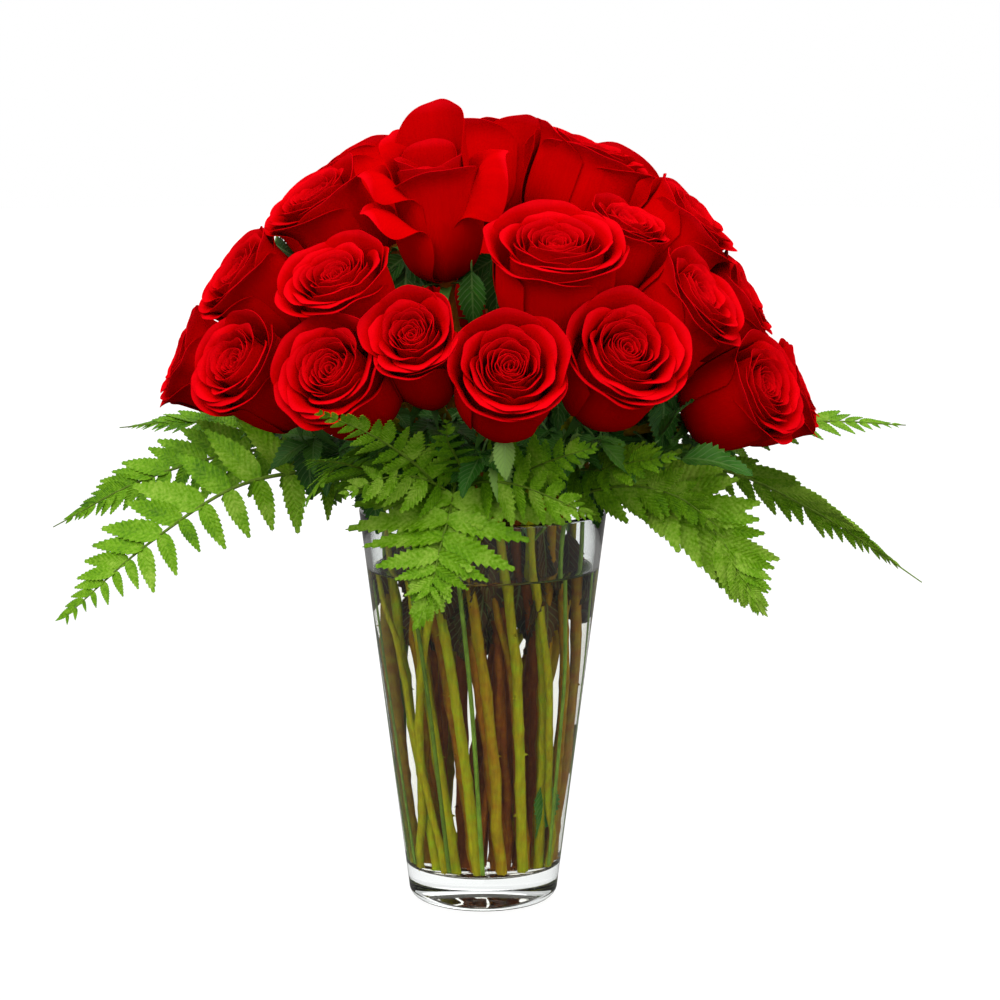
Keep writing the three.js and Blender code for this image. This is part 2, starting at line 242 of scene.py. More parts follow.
turn = np.linspace(0, 2 * math.pi, 96, endpoint=False)
rim = np.stack([np.cos(turn), np.sin(turn), 0 * turn], 1) * FLOOR_RADIUS
rim[:, 2] = -AIR
painted_board, add, board = new_material("painted_board")
floor = show("floor", make_mesh("floor", rim, [list(range(len(rim)))], [painted_board]))
mirrored, seen = ray_kinds(add)
dim = add("ShaderNodeMath", {0: mirrored, 1: MIRRORED_GLOW}, operation="MULTIPLY")
glow = add("ShaderNodeMath", {0: seen, 1: SEEN_GLOW, 2: dim}, operation="MULTIPLY_ADD")
wire(board, {"Base Color": linear("#4C4A48"), "Roughness": 0.7,
             "Emission Color": linear("#FFFFFF"), "Emission Strength": glow})
print("floor", 2 * FLOOR_RADIUS * MM, "m across")

# %% [markdown]
# ## The vase
#
# A pressed-glass vase: a straight taper, a thick foot with rounded corners and a hollow
# under it, and a fire-polished lip. It could be a curve with a Screw modifier. A short
# loop that turns one profile round the axis is as simple, closes both poles, and lets
# the water use the same function. The profile starts at the middle of the foot's
# underside, goes out over the hollow, up the outside, over the lip, and down the inside
# to the glass floor. The hollow mirrors the stems, and shows as the dark crescent in
# the foot.

# %% Vase profile
HEIGHT, RIM, FOOT = 230, 71.5, 42.5
CORNER, WALL, GLASS_FLOOR, FILLET = 7, 3.5, 20, 5
HOLLOW_RADIUS, HOLLOW_DEPTH = 31, 7.0  # under the foot
DIP = ((16, 0.6), (0, 1.0))  # radius, and how far the glass floor sinks there
WATER_LEVEL, CLIMB = 195, 1.8  # CLIMB is how far the water climbs up the glass
SLOPE = (RIM - FOOT) / HEIGHT
AROUND = 192


def outer_radius(z):
    return FOOT + SLOPE * z


def inner_radius(z):
    return FOOT + SLOPE * z - WALL


def bend(r, z, radius, start, end, steps):
    """Points on an arc in the profile's plane, in degrees from outwards."""
    a = np.radians(np.linspace(start, end, steps))
    return np.stack([r + radius * np.cos(a), z + radius * np.sin(a)], 1)


def rise(low, high, steps=10):
    """Points on the straight wall between two ends, without the ends."""
    share = np.linspace(0, 1, steps + 2)[1:-1, None]
    return np.array(low) * (1 - share) + np.array(high) * share


def lathe(profile):
    """Turns an (r, z) profile, from one point on the axis to another, into a closed body."""
    ring = np.arange(AROUND)
    after, a = (ring + 1) % AROUND, ring * 2 * math.pi / AROUND
    body = np.array(profile[1:-1])
    corners = [np.stack([r * np.cos(a), r * np.sin(a), 0 * a + z], 1) for r, z in body]
    corners = np.concatenate([*corners, [[0, 0, profile[0][1]], [0, 0, profile[-1][1]]]])
    start, end, top = len(corners) - 2, len(corners) - 1, (len(body) - 1) * AROUND
    faces = []
    for low in range(0, top, AROUND):
        high = low + AROUND
        faces += np.stack([low + ring, low + after, high + after, high + ring], 1).tolist()
    faces += [[start, j, i] for i, j in zip(ring, after)]
    faces += [[top + i, top + j, end] for i, j in zip(ring, after)]
    return corners, faces


lip = WALL / 2
foot_edge = bend(outer_radius(CORNER) - CORNER, CORNER, CORNER, -90, 0, 12)
lip_edge = bend(outer_radius(HEIGHT - lip) - lip, HEIGHT - lip, lip, 0, 180, 10)
floor_edge = bend(
    inner_radius(GLASS_FLOOR) - FILLET, GLASS_FLOOR + FILLET, FILLET, 0, -90, 10)
wet = WATER_LEVEL + CLIMB / 2
water_line = (inner_radius(wet), wet)
profile = [(r, HOLLOW_DEPTH * (1 - (r / HOLLOW_RADIUS) ** 2))
           for r in np.linspace(0, HOLLOW_RADIUS, 10)]
profile += [*foot_edge, *rise(foot_edge[-1], lip_edge[0]), *lip_edge]
profile += [*rise(lip_edge[-1], water_line, 2), water_line]
profile += [*rise(water_line, floor_edge[0]), *floor_edge]
profile += [(r, GLASS_FLOOR - sunk) for r, sunk in DIP]
vase_shape = lathe(profile)
print("vase", len(vase_shape[1]), "faces")

# %% [markdown]
# ### Soda-lime glass, pressed and fire-polished
#
# Clear glass has an index of 1.52 and almost no colour of its own; thick pieces look
# faintly green-grey at the edge. Light must also get through it: a path tracer takes
# glass as opaque to a lamp's shadow ray, which turns the water black. The usual cure
# is to let shadow rays pass with a slight loss, and to keep real refraction for what
# the eye sees. Pressing leaves very slow waves in the wall, tens of millimetres long.
#
# Where the water wets the glass, light goes from one to the other and never through
# air. So those faces have a second material, whose index is that of glass against water.

# %% Glass
GLASS_INDEX, WATER_INDEX = 1.52, 1.333


def clear_material(name, tint, index, passing, waves_mm, wave_height):
    """Refracting to the eye, and see-through to a lamp's shadow rays."""
    material, add, glass = new_material(name)
    here = add("ShaderNodeTexCoord").outputs["Object"]
    waves = add("ShaderNodeTexNoise", {
        "Vector": here, "Scale": 1 / (waves_mm * MM), "Detail": 1.0})
    bump = add("ShaderNodeBump", {
        "Height": waves, "Strength": 1.0, "Distance": wave_height * MM})
    wire(glass, {"Base Color": linear(tint), "Roughness": 0.0, "IOR": index,
                 "Transmission Weight": 1.0, "Normal": bump})
    open_way = add("ShaderNodeBsdfTransparent", {0: linear(passing)})
    shadow = add("ShaderNodeLightPath").outputs["Is Shadow Ray"]
    both = add("ShaderNodeMixShader", {0: shadow, 1: glass, 2: open_way})
    wire(material.node_tree.nodes["Material Output"], {0: both})
    return material


def wet_faces(mesh, radius, low, high):
    """Gives the second material to the faces inside a radius, between two heights in mm."""
    for face in mesh.polygons:
        x, y, z = face.center / MM
        if low < z < high and math.hypot(x, y) < radius(z):
            face.material_index = 1


soda_lime_glass = clear_material(
    "soda_lime_glass", "#F8FBFA", GLASS_INDEX, "#E8ECEA", 45, 0.25)
wetted_glass = clear_material(
    "wetted_glass", "#FFFFFF", GLASS_INDEX / WATER_INDEX, "#FFFFFF", 45, 0.1)
mesh = make_mesh("vase_glass", *vase_shape, [soda_lime_glass, wetted_glass])
wet_faces(mesh, lambda z: inner_radius(z) + 0.5, GLASS_FLOOR - 2, wet)
vase = place("vase_glass", mesh, "vase_glass", "vase")

# %% [markdown]
# ### Water
#
# The water wets the glass, so there is no air between them. If the two meshes only
# touched, the renderer would see a film of air and darken the whole vase. The usual
# answer is to let the water reach a hair into the glass wall. The glass has already bent
# the light there, so the water's own wetted side has an index of 1 and bends it no
# further. At its edge the water climbs about two millimetres up the glass, in a small
# curved meniscus.

# %% Water body
WETTING = 0.12
MENISCUS = ((0.5, 0.9), (1.0, 0.5), (2.2, 0.12))  # mm from the glass, share of the climb

bottom = inner_radius(GLASS_FLOOR) + WETTING
water_edge = bend(bottom - FILLET, GLASS_FLOOR - WETTING + FILLET, FILLET, -90, 0, 10)
top = inner_radius(WATER_LEVEL) + WETTING
water_profile = [(r, GLASS_FLOOR - sunk - WETTING) for r, sunk in reversed(DIP)]
water_profile += [*water_edge, *rise(water_edge[-1], (top, WATER_LEVEL), 12)]
water_profile += [(top + SLOPE * CLIMB, WATER_LEVEL + CLIMB)]
water_profile += [(top - gap, WATER_LEVEL + share * CLIMB) for gap, share in MENISCUS]
water_profile += [(r, WATER_LEVEL) for r in (top - 5, top / 2, 0)]
clear_water = clear_material("clear_water", "#F6F4EC", WATER_INDEX, "#F2F2EA", 30, 0.05)
touching_water = clear_material("touching_water", "#F6F4EC", 1.0, "#FFFFFF", 30, 0.0)
mesh = make_mesh("vase_water", *lathe(water_profile), [clear_water, touching_water])
wet_faces(mesh, lambda z: RIM, 0, WATER_LEVEL - 0.5)
place("vase_water", mesh, "water", "water")
print("water up to", WATER_LEVEL, "mm")

# %% [markdown]
# ## Where each rose is
#
# The solid model was set out from this table, so it is repeated here. `middle` is
# halfway between a bloom's base and its open top, `lean` is the compass direction and
# the degrees from straight up that it faces, and `size` its width and height. `slot`
# is the direction of its stem in the mouth of the vase. `openness` runs from 0, a
# bud, to 1, full blown; it is read off the photograph, bloom by bloom.

# %% Rose table
LOW, MIDDLE, TOP = "low", "middle", "top"
ROSES = [  # ring, middle, lean, size, slot, openness, spin
    (LOW, (-118, -92, 313), (-136, 58), (60, 66), -152, 0.5, -20),
    (LOW, (-70, -136, 316), (-119, 59), (66, 60), -128, 0.6, -28),
    (LOW, (-32, -142, 331), (-102, 53), (52, 68), -104, 0.3, 18),
    (LOW, (13, -154, 318), (-84, 56), (66, 62), -80, 0.42, 0),
    (LOW, (70, -131, 323), (-68, 54), (70, 66), -56, 0.5, -24),
    (LOW, (139, -66, 300), (-34, 66), (66, 60), -30, 0.5, 20),
    (LOW, (162, -2, 291), (-6, 66), (58, 54), -5, 0.7, 40),
    (LOW, (-150, -22, 311), (-172, 66), (60, 56), -176, 0.6, -60),
    (LOW, (-106, 80, 316), (142, 66), (84, 60), 136, 0.8, 30),
    (LOW, (2, 110, 340), (90, 60), (88, 62), 88, 0.9, 120),
    (LOW, (106, 76, 316), (36, 66), (84, 60), 40, 0.7, -40),
    (MIDDLE, (-71, -112, 357), (-122, 36), (64, 56), -124, 0.7, -10),
    (MIDDLE, (39, -114, 370), (-84, 25), (80, 60), -84, 0.72, 8),
    (MIDDLE, (103, -88, 346), (-24, 52), (64, 60), -52, 0.55, -50),
    (MIDDLE, (129, -28, 344), (-8, 58), (60, 56), -18, 0.6, 30),
    (MIDDLE, (-121, -40, 355), (-158, 50), (62, 58), 164, 0.7, -60),
    (MIDDLE, (-82, -34, 392), (-152, 34), (64, 60), -160, 0.65, -30),
    (MIDDLE, (102, -36, 381), (-12, 44), (66, 64), 16, 0.6, 40),
    (MIDDLE, (-66, 58, 399), (138, 38), (76, 60), 126, 0.7, 90),
    (MIDDLE, (74, 56, 393), (42, 42), (76, 60), 54, 0.8, -90),
    (TOP, (-26, -58, 411), (-140, 11), (72, 94), -130, 0.25, 0),
    (TOP, (6, 24, 418), (92, 16), (68, 64), 104, 0.5, 60),
    (TOP, (53, -18, 413), (-4, 20), (74, 62), 14, 0.8, 20),
    (TOP, (72, -76, 382), (-34, 28), (48, 50), -58, 0.3, -30),
]


def facing(heading, tilt):
    """Unit vector leaning `tilt` degrees from straight up towards a compass direction."""
    h, t = math.radians(heading), math.radians(tilt)
    return np.array([math.sin(t) * math.cos(h), math.sin(t) * math.sin(h), math.cos(t)])


def bloom_base(rose):
    _, middle, lean, size, _, _, _ = rose
    return np.array(middle) - facing(*lean) * size[1] / 2


def axes(forward):
    """Three unit columns: the third is forward, the first as near straight up as can be."""
    z = np.asarray(forward, float) / np.linalg.norm(forward)
    x = np.array([0.0, 0, 1]) - z * z[2]
    if np.linalg.norm(x) < 1e-6:
        x = np.array([1.0, 0, 0]) - z * z[0]
    x = x / np.linalg.norm(x)
    return np.stack([x, np.cross(z, x), z], 1)


print(len(ROSES), "roses")

# %% [markdown]
# ## Petals
#
# A garden rose can be sculpted, but a florist's rose follows a rule: every petal is a
# cup-shaped sheet wrapped round the axis, and each new one stands about 137 degrees on
# from the last, which is why the heart looks like a spiral. So a bloom is made in
# numbers. One petal is a grid: one way runs from its foot to its rim, the other across.
#
# Its section is a curve from the foot up to a shoulder, then an arc that rolls the rim
# outwards. Three things make it look like a rose and not like a cup: the rim rolls more
# at the petal's corners than at its middle, one edge tucks under its neighbour, and the
# sheet is a little wavy. Petals are half a millimetre thick, so each is a closed sheet.
#
# On the tall rose some petals peel: `peel` is how far down its left and right edges the
# roll begins, and `aside` is how much of the roll goes straight out from the petal's
# middle, as one stiff flap, and not outwards all round.


# %% One petal
def fade(low, high, x):
    """0 below low, 1 above high, smooth between."""
    t = np.clip((x - low) / (high - low), 0.0, 1.0)
    return t * t * (3.0 - 2.0 * t)


def petal_section(foot, cup, shoulder, start_tilt, belly, full):
    """Radius and height from foot to shoulder, and the length so far, in mm."""
    lean = math.radians(start_tilt)
    ends = np.array([[foot, 0.0], [cup, shoulder]])
    low = np.array([foot + (cup - foot) * full + belly, 0.06 * shoulder])
    high = ends[1] - 0.45 * shoulder * np.array([math.sin(lean), math.cos(lean)])
    high = high + np.array([belly, 0.0])
    w = np.linspace(0, 1, 40)[:, None]
    curve = (1 - w) ** 3 * ends[0] + 3 * (1 - w) ** 2 * w * low
    curve = curve + 3 * (1 - w) * w * w * high + w**3 * ends[1]
    return curve, np.concatenate([[0], np.cumsum(np.hypot(*np.diff(curve, axis=0).T))])


def petal(draw, turn, cup, shoulder, flare, tilt, spread, tuck=0.1, corner=0.3, belly=0.0,
          flat=0.0, ruffle=0.6, point=0.0, rows=12, columns=17, thick=0.4, foot=3.5,
          roll=0.4, curl=0.0, swell=0.35, full=0.95, peel=(0.0, 0.0), aside=0.0):
    """The two sides of one petal as grids, and how far along and across each point is."""
    across = np.linspace(-1.0, 1.0, columns)[:, None]
    up = (1.0 - (1.0 - np.linspace(0.0, 1.0, rows)) ** 1.35)[None, :]
    curve, length = petal_section(foot, cup, shoulder, tilt[0], belly, full)
    along = up * (1.0 - corner * np.abs(across) ** 3.0)
    along = along * (1.0 + point * np.exp(-((across / 0.16) ** 2)))
    run = along * (length[-1] + flare)
    start = np.where(across < 0, *peel) * fade(0.1, 1.0, np.abs(across))
    start = length[-1] * (1.0 - start)  # where the roll begins
    r = np.interp(np.minimum(run, start), length, curve[:, 0])
    z = np.interp(np.minimum(run, start), length, curve[:, 1])
    slope = np.arctan2(np.gradient(curve[:, 0]), np.gradient(curve[:, 1]))
    lean = np.interp(start, length, slope)
    end = math.radians(tilt[1]) * (1.0 + roll * np.abs(across) ** 1.5)
    end = end + math.radians(curl) * np.abs(across) ** 3
    rate = (end - lean) / flare
    rate = np.where(np.abs(rate) < 1e-6, 1e-6, rate)
    turned = lean + rate * np.clip(run - start, 0, None)
    rolled = (np.cos(lean) - np.cos(turned)) / rate
    r = r + rolled * (1.0 - aside)
    z = z + (np.sin(turned) - np.sin(lean)) / rate
    phase = draw.uniform(0, 2 * math.pi, 5)
    wave = np.sin(6.2 * across + phase[0]) + 0.5 * np.sin(10.3 * across + phase[1])
    wave = ruffle * along**3 * wave
    fold = swell * np.sin(3.6 * across + phase[2]) * np.sin(3.5 * along + phase[3])
    r = r * (1.0 + tuck * across) + 0.6 * wave + fold
    z = z + 0.5 * wave * np.sin(3 * across + phase[4])
    angle = math.radians(spread) * (0.55 + 0.45 * fade(0.0, 0.45, along)) * across
    out = r * np.cos(angle) * (1 - flat) + flat * r * (1.0 - 0.12 * across**2)
    out = out + rolled * aside
    side = r * np.sin(angle)
    c, s = math.cos(turn), math.sin(turn)
    sheet = np.stack([out * c - side * s, out * s + side * c, z], -1)
    normal = np.cross(np.gradient(sheet, axis=0), np.gradient(sheet, axis=1))
    normal = normal / np.maximum(np.linalg.norm(normal, axis=-1, keepdims=True), 1e-9)
    half = 0.5 * thick * (1.0 - 0.35 * along)[..., None]
    return sheet + normal * half, sheet - normal * half, along, across + 0 * along


def closed_sheet(front, back):
    """Corners and quads of a sheet with two sides and a rim all round."""
    columns, rows = front.shape[:2]
    corners = np.concatenate([front.reshape(-1, 3), back.reshape(-1, 3)])
    count = columns * rows
    grid = np.arange(count).reshape(columns, rows)
    quads = np.stack([grid[:-1, :-1], grid[1:, :-1], grid[1:, 1:], grid[:-1, 1:]], -1)
    quads = quads.reshape(-1, 4)
    rim = np.concatenate([grid[:, 0], grid[-1, 1:], grid[-2::-1, -1], grid[0, -2:0:-1]])
    after = np.roll(rim, -1)
    edge = np.stack([after, rim, rim + count, after + count], -1)
    return corners, np.concatenate([quads, quads[:, ::-1] + count, edge])


sample = petal(np.random.default_rng(1), 0, 20, 40, 10, (0, 60), 60)
print("one petal:", len(closed_sheet(*sample[:2])[1]), "quads")

# %% [markdown]
# ### From petals to a bloom
#
# A bloom has four kinds of petal, from the inside out. The heart is a tight coil whose
# petals wrap nearly all the way round. The cup's petals wrap about half way and just
# begin to roll. The shoulder petals roll right over, and where two of their corners
# meet they leave a V. The guard petals outside are broad, and open like a saucer.
# `openness` sets how far they roll. Heights and radii are shares of the bloom's size.
# The tall rose at the top is seen from the side, so its outer petals have a table.


# %% Heart of a bloom
GOLDEN = math.radians(137.5)
SHOULDER_TURNS = (0, 128, 232, 72, 291, 176, 148, 214)  # turn 0 is the upper side
GUARD_TURNS = (4, 76, 286, 146, 217)
TALL_PETALS = (  # turn, cup, shoulder, flare, tilt, spread, corner, ruffle, peel
    (40, 0.44, 0.70, 10, (0, 20), 84, 0.12, 0.6, (0, 0)),
    (150, 0.46, 0.66, 9, (0, 30), 84, 0.14, 0.8, (0, 0)),
    (-60, 0.48, 0.64, 9, (0, 26), 86, 0.14, 0.7, (0, 0)),
    (-150, 0.52, 0.61, 10, (0, 36), 86, 0.14, 0.6, (0, 0)),
    (90, 0.58, 0.72, 16, (2, 50), 76, 0.22, 1.2, (0, 0.1)),
    (22, 0.60, 0.76, 24, (0, 6), 88, 0.24, 0.8, (0, 0)),
    (150, 0.64, 0.60, 22, (4, 120), 66, 0.24, 1.8, (0, 0.2)),
    (-122, 0.68, 0.58, 13, (2, 56), 74, 0.10, 0.5, (0.1, 0)),
    (-46, 0.73, 0.58, 24, (4, 110), 66, 0.34, 0.8, (0.42, 0)),
    (168, 0.76, 0.42, 22, (8, 120), 54, 0.26, 1.8, (0, 0.25)),
)


def coil(draw, plan, turn, radius, top, tilt, steps=12):
    """Adds the tight spiral in the middle of a bloom; gives the turn where it ends."""
    for k in range(steps):
        share = k / (steps - 1)
        cup = radius[0] + (radius[1] - radius[0]) * share**0.85
        height = top[0] + (top[1] - top[0]) * share + 0.7 * draw.uniform(-1, 1)
        plan.append(dict(
            turn=turn + k * GOLDEN + draw.uniform(-0.35, 0.35), cup=cup,
            shoulder=height - 3.0, flare=3.0 + share,
            tilt=(-8, tilt[0] + (tilt[1] - tilt[0]) * share), spread=140 - 56 * share,
            tuck=0.16 - 0.05 * share, corner=0.08, ruffle=0.45 + 0.25 * share, rows=9,
            thick=0.35, foot=min(3.0, 0.8 * cup), roll=0.2))
    return turn + steps * GOLDEN


print("tall rose:", len(TALL_PETALS), "petals round the heart")


# %% Every petal of one bloom
def petal_plan(draw, width, height, openness, spin):
    """The settings of every petal of one bloom, from the heart outwards."""
    half, plan = width / 2, []
    heart = half * (0.24 + 0.02 * draw.uniform(-1, 1))
    cup = half * (0.52 + 0.02 * draw.uniform(-1, 1))
    turn = coil(draw, plan, draw.uniform(0, 6.28), (1.0, heart),
                (0.86 * height, 0.90 * height), (10, 22))
    for k in range(13):
        share = (k + 1) / 13
        top = height * (0.905 + 0.05 * math.sin(2.4 * share) + draw.uniform(-0.01, 0.01))
        plan.append(dict(
            turn=turn + k * GOLDEN + draw.uniform(-0.35, 0.35),
            cup=heart + (cup - heart) * share, shoulder=top - 4.0 - 2.5 * share,
            flare=4.0 + 3.0 * share, tilt=(-5 + 5 * share, 18 + 30 * share * (0.4 + openness)),
            spread=80 - 14 * share, tuck=0.1, corner=0.10 + 0.06 * share,
            ruffle=0.6 + 0.3 * share, rows=11, thick=0.38, foot=3.2, roll=0.4, flat=0.04,
            swell=0.5))
    for k, turn in enumerate(SHOULDER_TURNS):
        share = k / 7
        plan.append(dict(
            turn=math.radians(turn + spin) + draw.uniform(-0.14, 0.14),
            cup=cup + (0.70 * half - cup) * share**0.8,
            shoulder=height * (0.845 - 0.07 * share), flare=height * (0.13 + 0.05 * share),
            tilt=(1 + 5 * share, 44 + 26 * openness + 24 * share),
            spread=64 - 4 * share, tuck=0.07, corner=0.2, ruffle=0.9, rows=14, columns=21,
            thick=0.45, foot=3.6, roll=0.5, curl=14 + 26 * share, point=0.02, flat=0.07,
            swell=0.7))
    for k, turn in enumerate(GUARD_TURNS):
        # The guard petal behind stands up like a wall, those in front roll over.
        front = 0.5 - 0.5 * math.cos(math.radians(turn))
        plan.append(dict(
            turn=math.radians(turn + 0.6 * spin) + draw.uniform(-0.12, 0.12),
            cup=half * (0.79 + 0.03 * (k % 2)), shoulder=height * (0.74 - 0.06 * front),
            flare=height * (0.25 - 0.03 * front + 0.02 * draw.uniform(-1, 1)),
            tilt=(6 + 3 * front, 20 + (26 + 48 * front) * openness + draw.uniform(-5, 8)),
            spread=70 + draw.uniform(-3, 5), tuck=0.06, corner=0.27 - 0.1 * openness,
            ruffle=1.2, rows=17, columns=27, thick=0.5, foot=4.2, roll=0.25,
            curl=15 + 60 * openness, point=0.015, flat=0.06, belly=0.05 * half, swell=0.9))
    return plan


def tall_plan(draw, width, height):
    """The top rose: a long cup that is open to the front, its outer petals rolled back."""
    half, plan = width / 2, []
    coil(draw, plan, 0.4, (1.0, 0.34 * half), (0.6 * height, 0.66 * height), (14, 34))
    for turn, cup, shoulder, flare, tilt, spread, corner, ruffle, peel in TALL_PETALS:
        plan.append(dict(
            turn=math.radians(turn), cup=cup * half, shoulder=shoulder * height, flare=flare,
            tilt=tilt, spread=spread, tuck=0.06, corner=corner, ruffle=ruffle, rows=25,
            columns=35, thick=0.5, foot=4.0, roll=0.1, curl=12, point=0.01, flat=0.05,
            swell=1.0, full=0.85, peel=peel, aside=0.8))
    return plan


def bloom_shape(draw, plan):
    """A bloom that stands on the origin and faces +Z: corners, quads and marks."""
    corners, faces, marks, count = [], [], [], 0
    for settings in plan:
        tone = draw.uniform(0, 1)
        front, back, along, across = petal(draw, **settings)
        points, quads = closed_sheet(front, back)
        corners.append(points)
        faces.append(quads + count)
        count += len(points)
        marks.append([np.tile(along.ravel(), 2), np.tile(across.ravel(), 2),
                      np.full(len(points), tone)])
    return np.concatenate(corners), np.concatenate(faces), np.concatenate(marks, 1)


print("one bloom:", len(petal_plan(np.random.default_rng(1), 66, 60, 0.5, 0)), "petals")

# %% [markdown]
# ### Blooms that press on each other
#
# The roses are packed so tightly that neighbours flatten each other. The solid model
# already shares out the room between them: where two blooms would overlap, one has
# been cut back. So each bloom is compared with its own solid. Rays go out from its
# axis, and where the solid stops short, the outer petals are drawn in by as much.


# %% Pressing a bloom into its room
LEVELS, DIRECTIONS = 9, 48
LOWEST, HIGHEST = 0.12, 0.92  # shares of the bloom's height
MOST_PRESSED = 0.35


def free_room(node, base, basis, height):
    """How far the solid reaches in each direction at each level, against its widest."""
    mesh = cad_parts[node].data
    tree = BVHTree.FromPolygons(
        [v.co / MM for v in mesh.vertices], [tuple(p.vertices) for p in mesh.polygons])
    reach = np.zeros((LEVELS, DIRECTIONS))
    for i, share in enumerate(np.linspace(LOWEST, HIGHEST, LEVELS)):
        start = Vector(base + basis[:, 2] * share * height)
        for j in range(DIRECTIONS):
            a = 2 * math.pi * j / DIRECTIONS
            away = basis[:, 0] * math.cos(a) + basis[:, 1] * math.sin(a)
            hit = tree.ray_cast(start, Vector(away))
            reach[i, j] = hit[3] if hit[0] is not None else 0
    share = reach / np.maximum(np.percentile(reach, 80, axis=1, keepdims=True), 1)
    share = np.clip(share, MOST_PRESSED, 1.0)
    for _ in range(3):  # a petal bends, so a sharp cut becomes a soft hollow
        share = (np.roll(share, 1, 1) + 2 * share + np.roll(share, -1, 1)) / 4
    return share


def pressed(corners, share, half, height):
    """Draws the outer petals in where the room is short."""
    radius = np.hypot(corners[:, 0], corners[:, 1])
    a = np.mod(np.arctan2(corners[:, 1], corners[:, 0]), 2 * math.pi)
    j = a / (2 * math.pi) * DIRECTIONS
    i = np.clip((corners[:, 2] / height - LOWEST) / 0.8, 0, 1) * (LEVELS - 1)
    i0 = np.minimum(i.astype(int), LEVELS - 2)
    j0 = j.astype(int) % DIRECTIONS
    j1, u, v = (j0 + 1) % DIRECTIONS, i - i0, j - np.floor(j)
    low = share[i0, j0] * (1 - v) + share[i0, j1] * v
    high = share[i0 + 1, j0] * (1 - v) + share[i0 + 1, j1] * v
    room = low * (1 - u) + high * u
    scale = 1 - (1 - room) * fade(0.15 * half, 0.9 * half, radius)
    return corners * np.stack([scale, scale, np.ones_like(scale)], 1)


# %% [markdown]
# ### Rose petals
#
# A red petal is thin, coloured by pigment in cone-shaped cells. The cones trap light,
# so it looks like velvet: deep, even and without gloss. Its red is painted darker towards
# its foot, as painted shade deep in the bloom, and paler at the very rim, as a painted
# highlight where it is thinnest and lets light through. Fine veins, a millimetre or so
# apart, run from foot to rim. The marks kept at each corner carry all of this: how far
# along and across its petal it is, and a tone for each petal.

# %% Petal material
MARKS = ("along", "across", "tone")
# The red darkens towards the petal's foot as painted shade, and pales at the rim as a painted
# highlight.
PETAL_RED_AND_PAINTED_LIGHT = ((0.12, "#A20000"), (0.5, "#CA0000"), (0.94, "#D00003"), (0.985, "#E60410"))
VEINS_ACROSS = 26  # on half a petal of about 30 mm, so 1.2 mm apart
VEIN_STRETCH = (VEINS_ACROSS, 1.6, 40)
MOTTLE_MM = 9
CELL_MM = 0.9  # real cells are 0.03 mm; drawn this coarse so that they show


def read_marks(add, names=MARKS):
    """The marks kept in the mesh, as sockets."""
    return [add("ShaderNodeAttribute", attribute_name=name).outputs["Fac"] for name in names]


velvet, add, skin = new_material("rose_petal_velvet")
along, across, tone = read_marks(add)
here = add("ShaderNodeTexCoord").outputs["Object"]
# Along the petal: painted shade at its foot, a painted highlight at its rim.
red_with_painted_light = add("ShaderNodeValToRGB", {0: along})
set_stops(red_with_painted_light, PETAL_RED_AND_PAINTED_LIGHT)
mottle = add("ShaderNodeTexNoise", {
    "Vector": here, "Scale": 1 / (MOTTLE_MM * MM), "Detail": 3.0})
shift = add("ShaderNodeMath", {0: mottle, 1: tone}, operation="ADD")
bright = add("ShaderNodeMapRange", {
    "Value": shift, "From Min": 0.2, "From Max": 1.7, "To Min": 0.82, "To Max": 1.1})
hue = add("ShaderNodeHueSaturation", {"Color": red_with_painted_light, "Value": bright})
grain = add("ShaderNodeCombineXYZ", {"X": across, "Y": along, "Z": tone})
stretched = add("ShaderNodeVectorMath", {0: grain, 1: VEIN_STRETCH}, operation="MULTIPLY")
veins = add("ShaderNodeTexNoise", {"Vector": stretched, "Scale": 1.0, "Detail": 2.0})
cells = add("ShaderNodeTexNoise", {
    "Vector": here, "Scale": 1 / (CELL_MM * MM), "Detail": 1.0})
fine = add("ShaderNodeBump", {"Height": cells, "Strength": 0.4, "Distance": 0.05 * MM})
ribs = add("ShaderNodeBump", {
    "Height": veins, "Strength": 0.6, "Distance": 0.12 * MM, "Normal": fine})
streaked = add("ShaderNodeMapRange", {
    "Value": veins, "From Min": 0.3, "From Max": 0.7, "To Min": 0.96, "To Max": 1.03})
tint = add("ShaderNodeHueSaturation", {"Color": hue, "Value": streaked})
wire(skin, {"Base Color": tint, "Roughness": 0.55, "IOR": 1.36,
            "Specular IOR Level": 0.0, "Normal": ribs})
print(velvet.name, len(velvet.node_tree.nodes), "nodes")

# %% Make every bloom
TALL_ROSE = 21

total = 0
for i, rose in enumerate(ROSES):
    _, _, lean, (width, height), _, openness, spin = rose
    name = f"rose_{i + 1:02d}"
    base, basis = bloom_base(rose), axes(facing(*lean))
    draw = np.random.default_rng(100 + i)
    plan = petal_plan(draw, width, height, openness, spin)
    if i + 1 == TALL_ROSE:
        plan = tall_plan(draw, width, height)
    corners, quads, marks = bloom_shape(draw, plan)
    share = free_room(f"{name}_bloom", base, basis, height)
    corners = pressed(corners, share, width / 2, height) @ basis.T + base
    mesh = make_mesh(f"{name}_petals", corners, quads, [velvet], dict(zip(MARKS, marks)))
    place(mesh.name, mesh, "petals", f"{name}_bloom")
    total += 2 * len(quads)
print(len(ROSES), "blooms,", total, "triangles")

# %% [markdown]
# ## Geometry Nodes for what repeats
#
# Thorns along a stem, sepals round a hip and leaflets along a fern's rib all repeat by
# a rule, so node trees make them. Each tree has named inputs for its sizes. The helper
# below makes a tree with such inputs, and another runs it on a mesh: it sets each
# input by the socket's identifier, takes the evaluated result as a plain mesh, and
# removes the object with the modifier, so that nothing live is left in the scene.


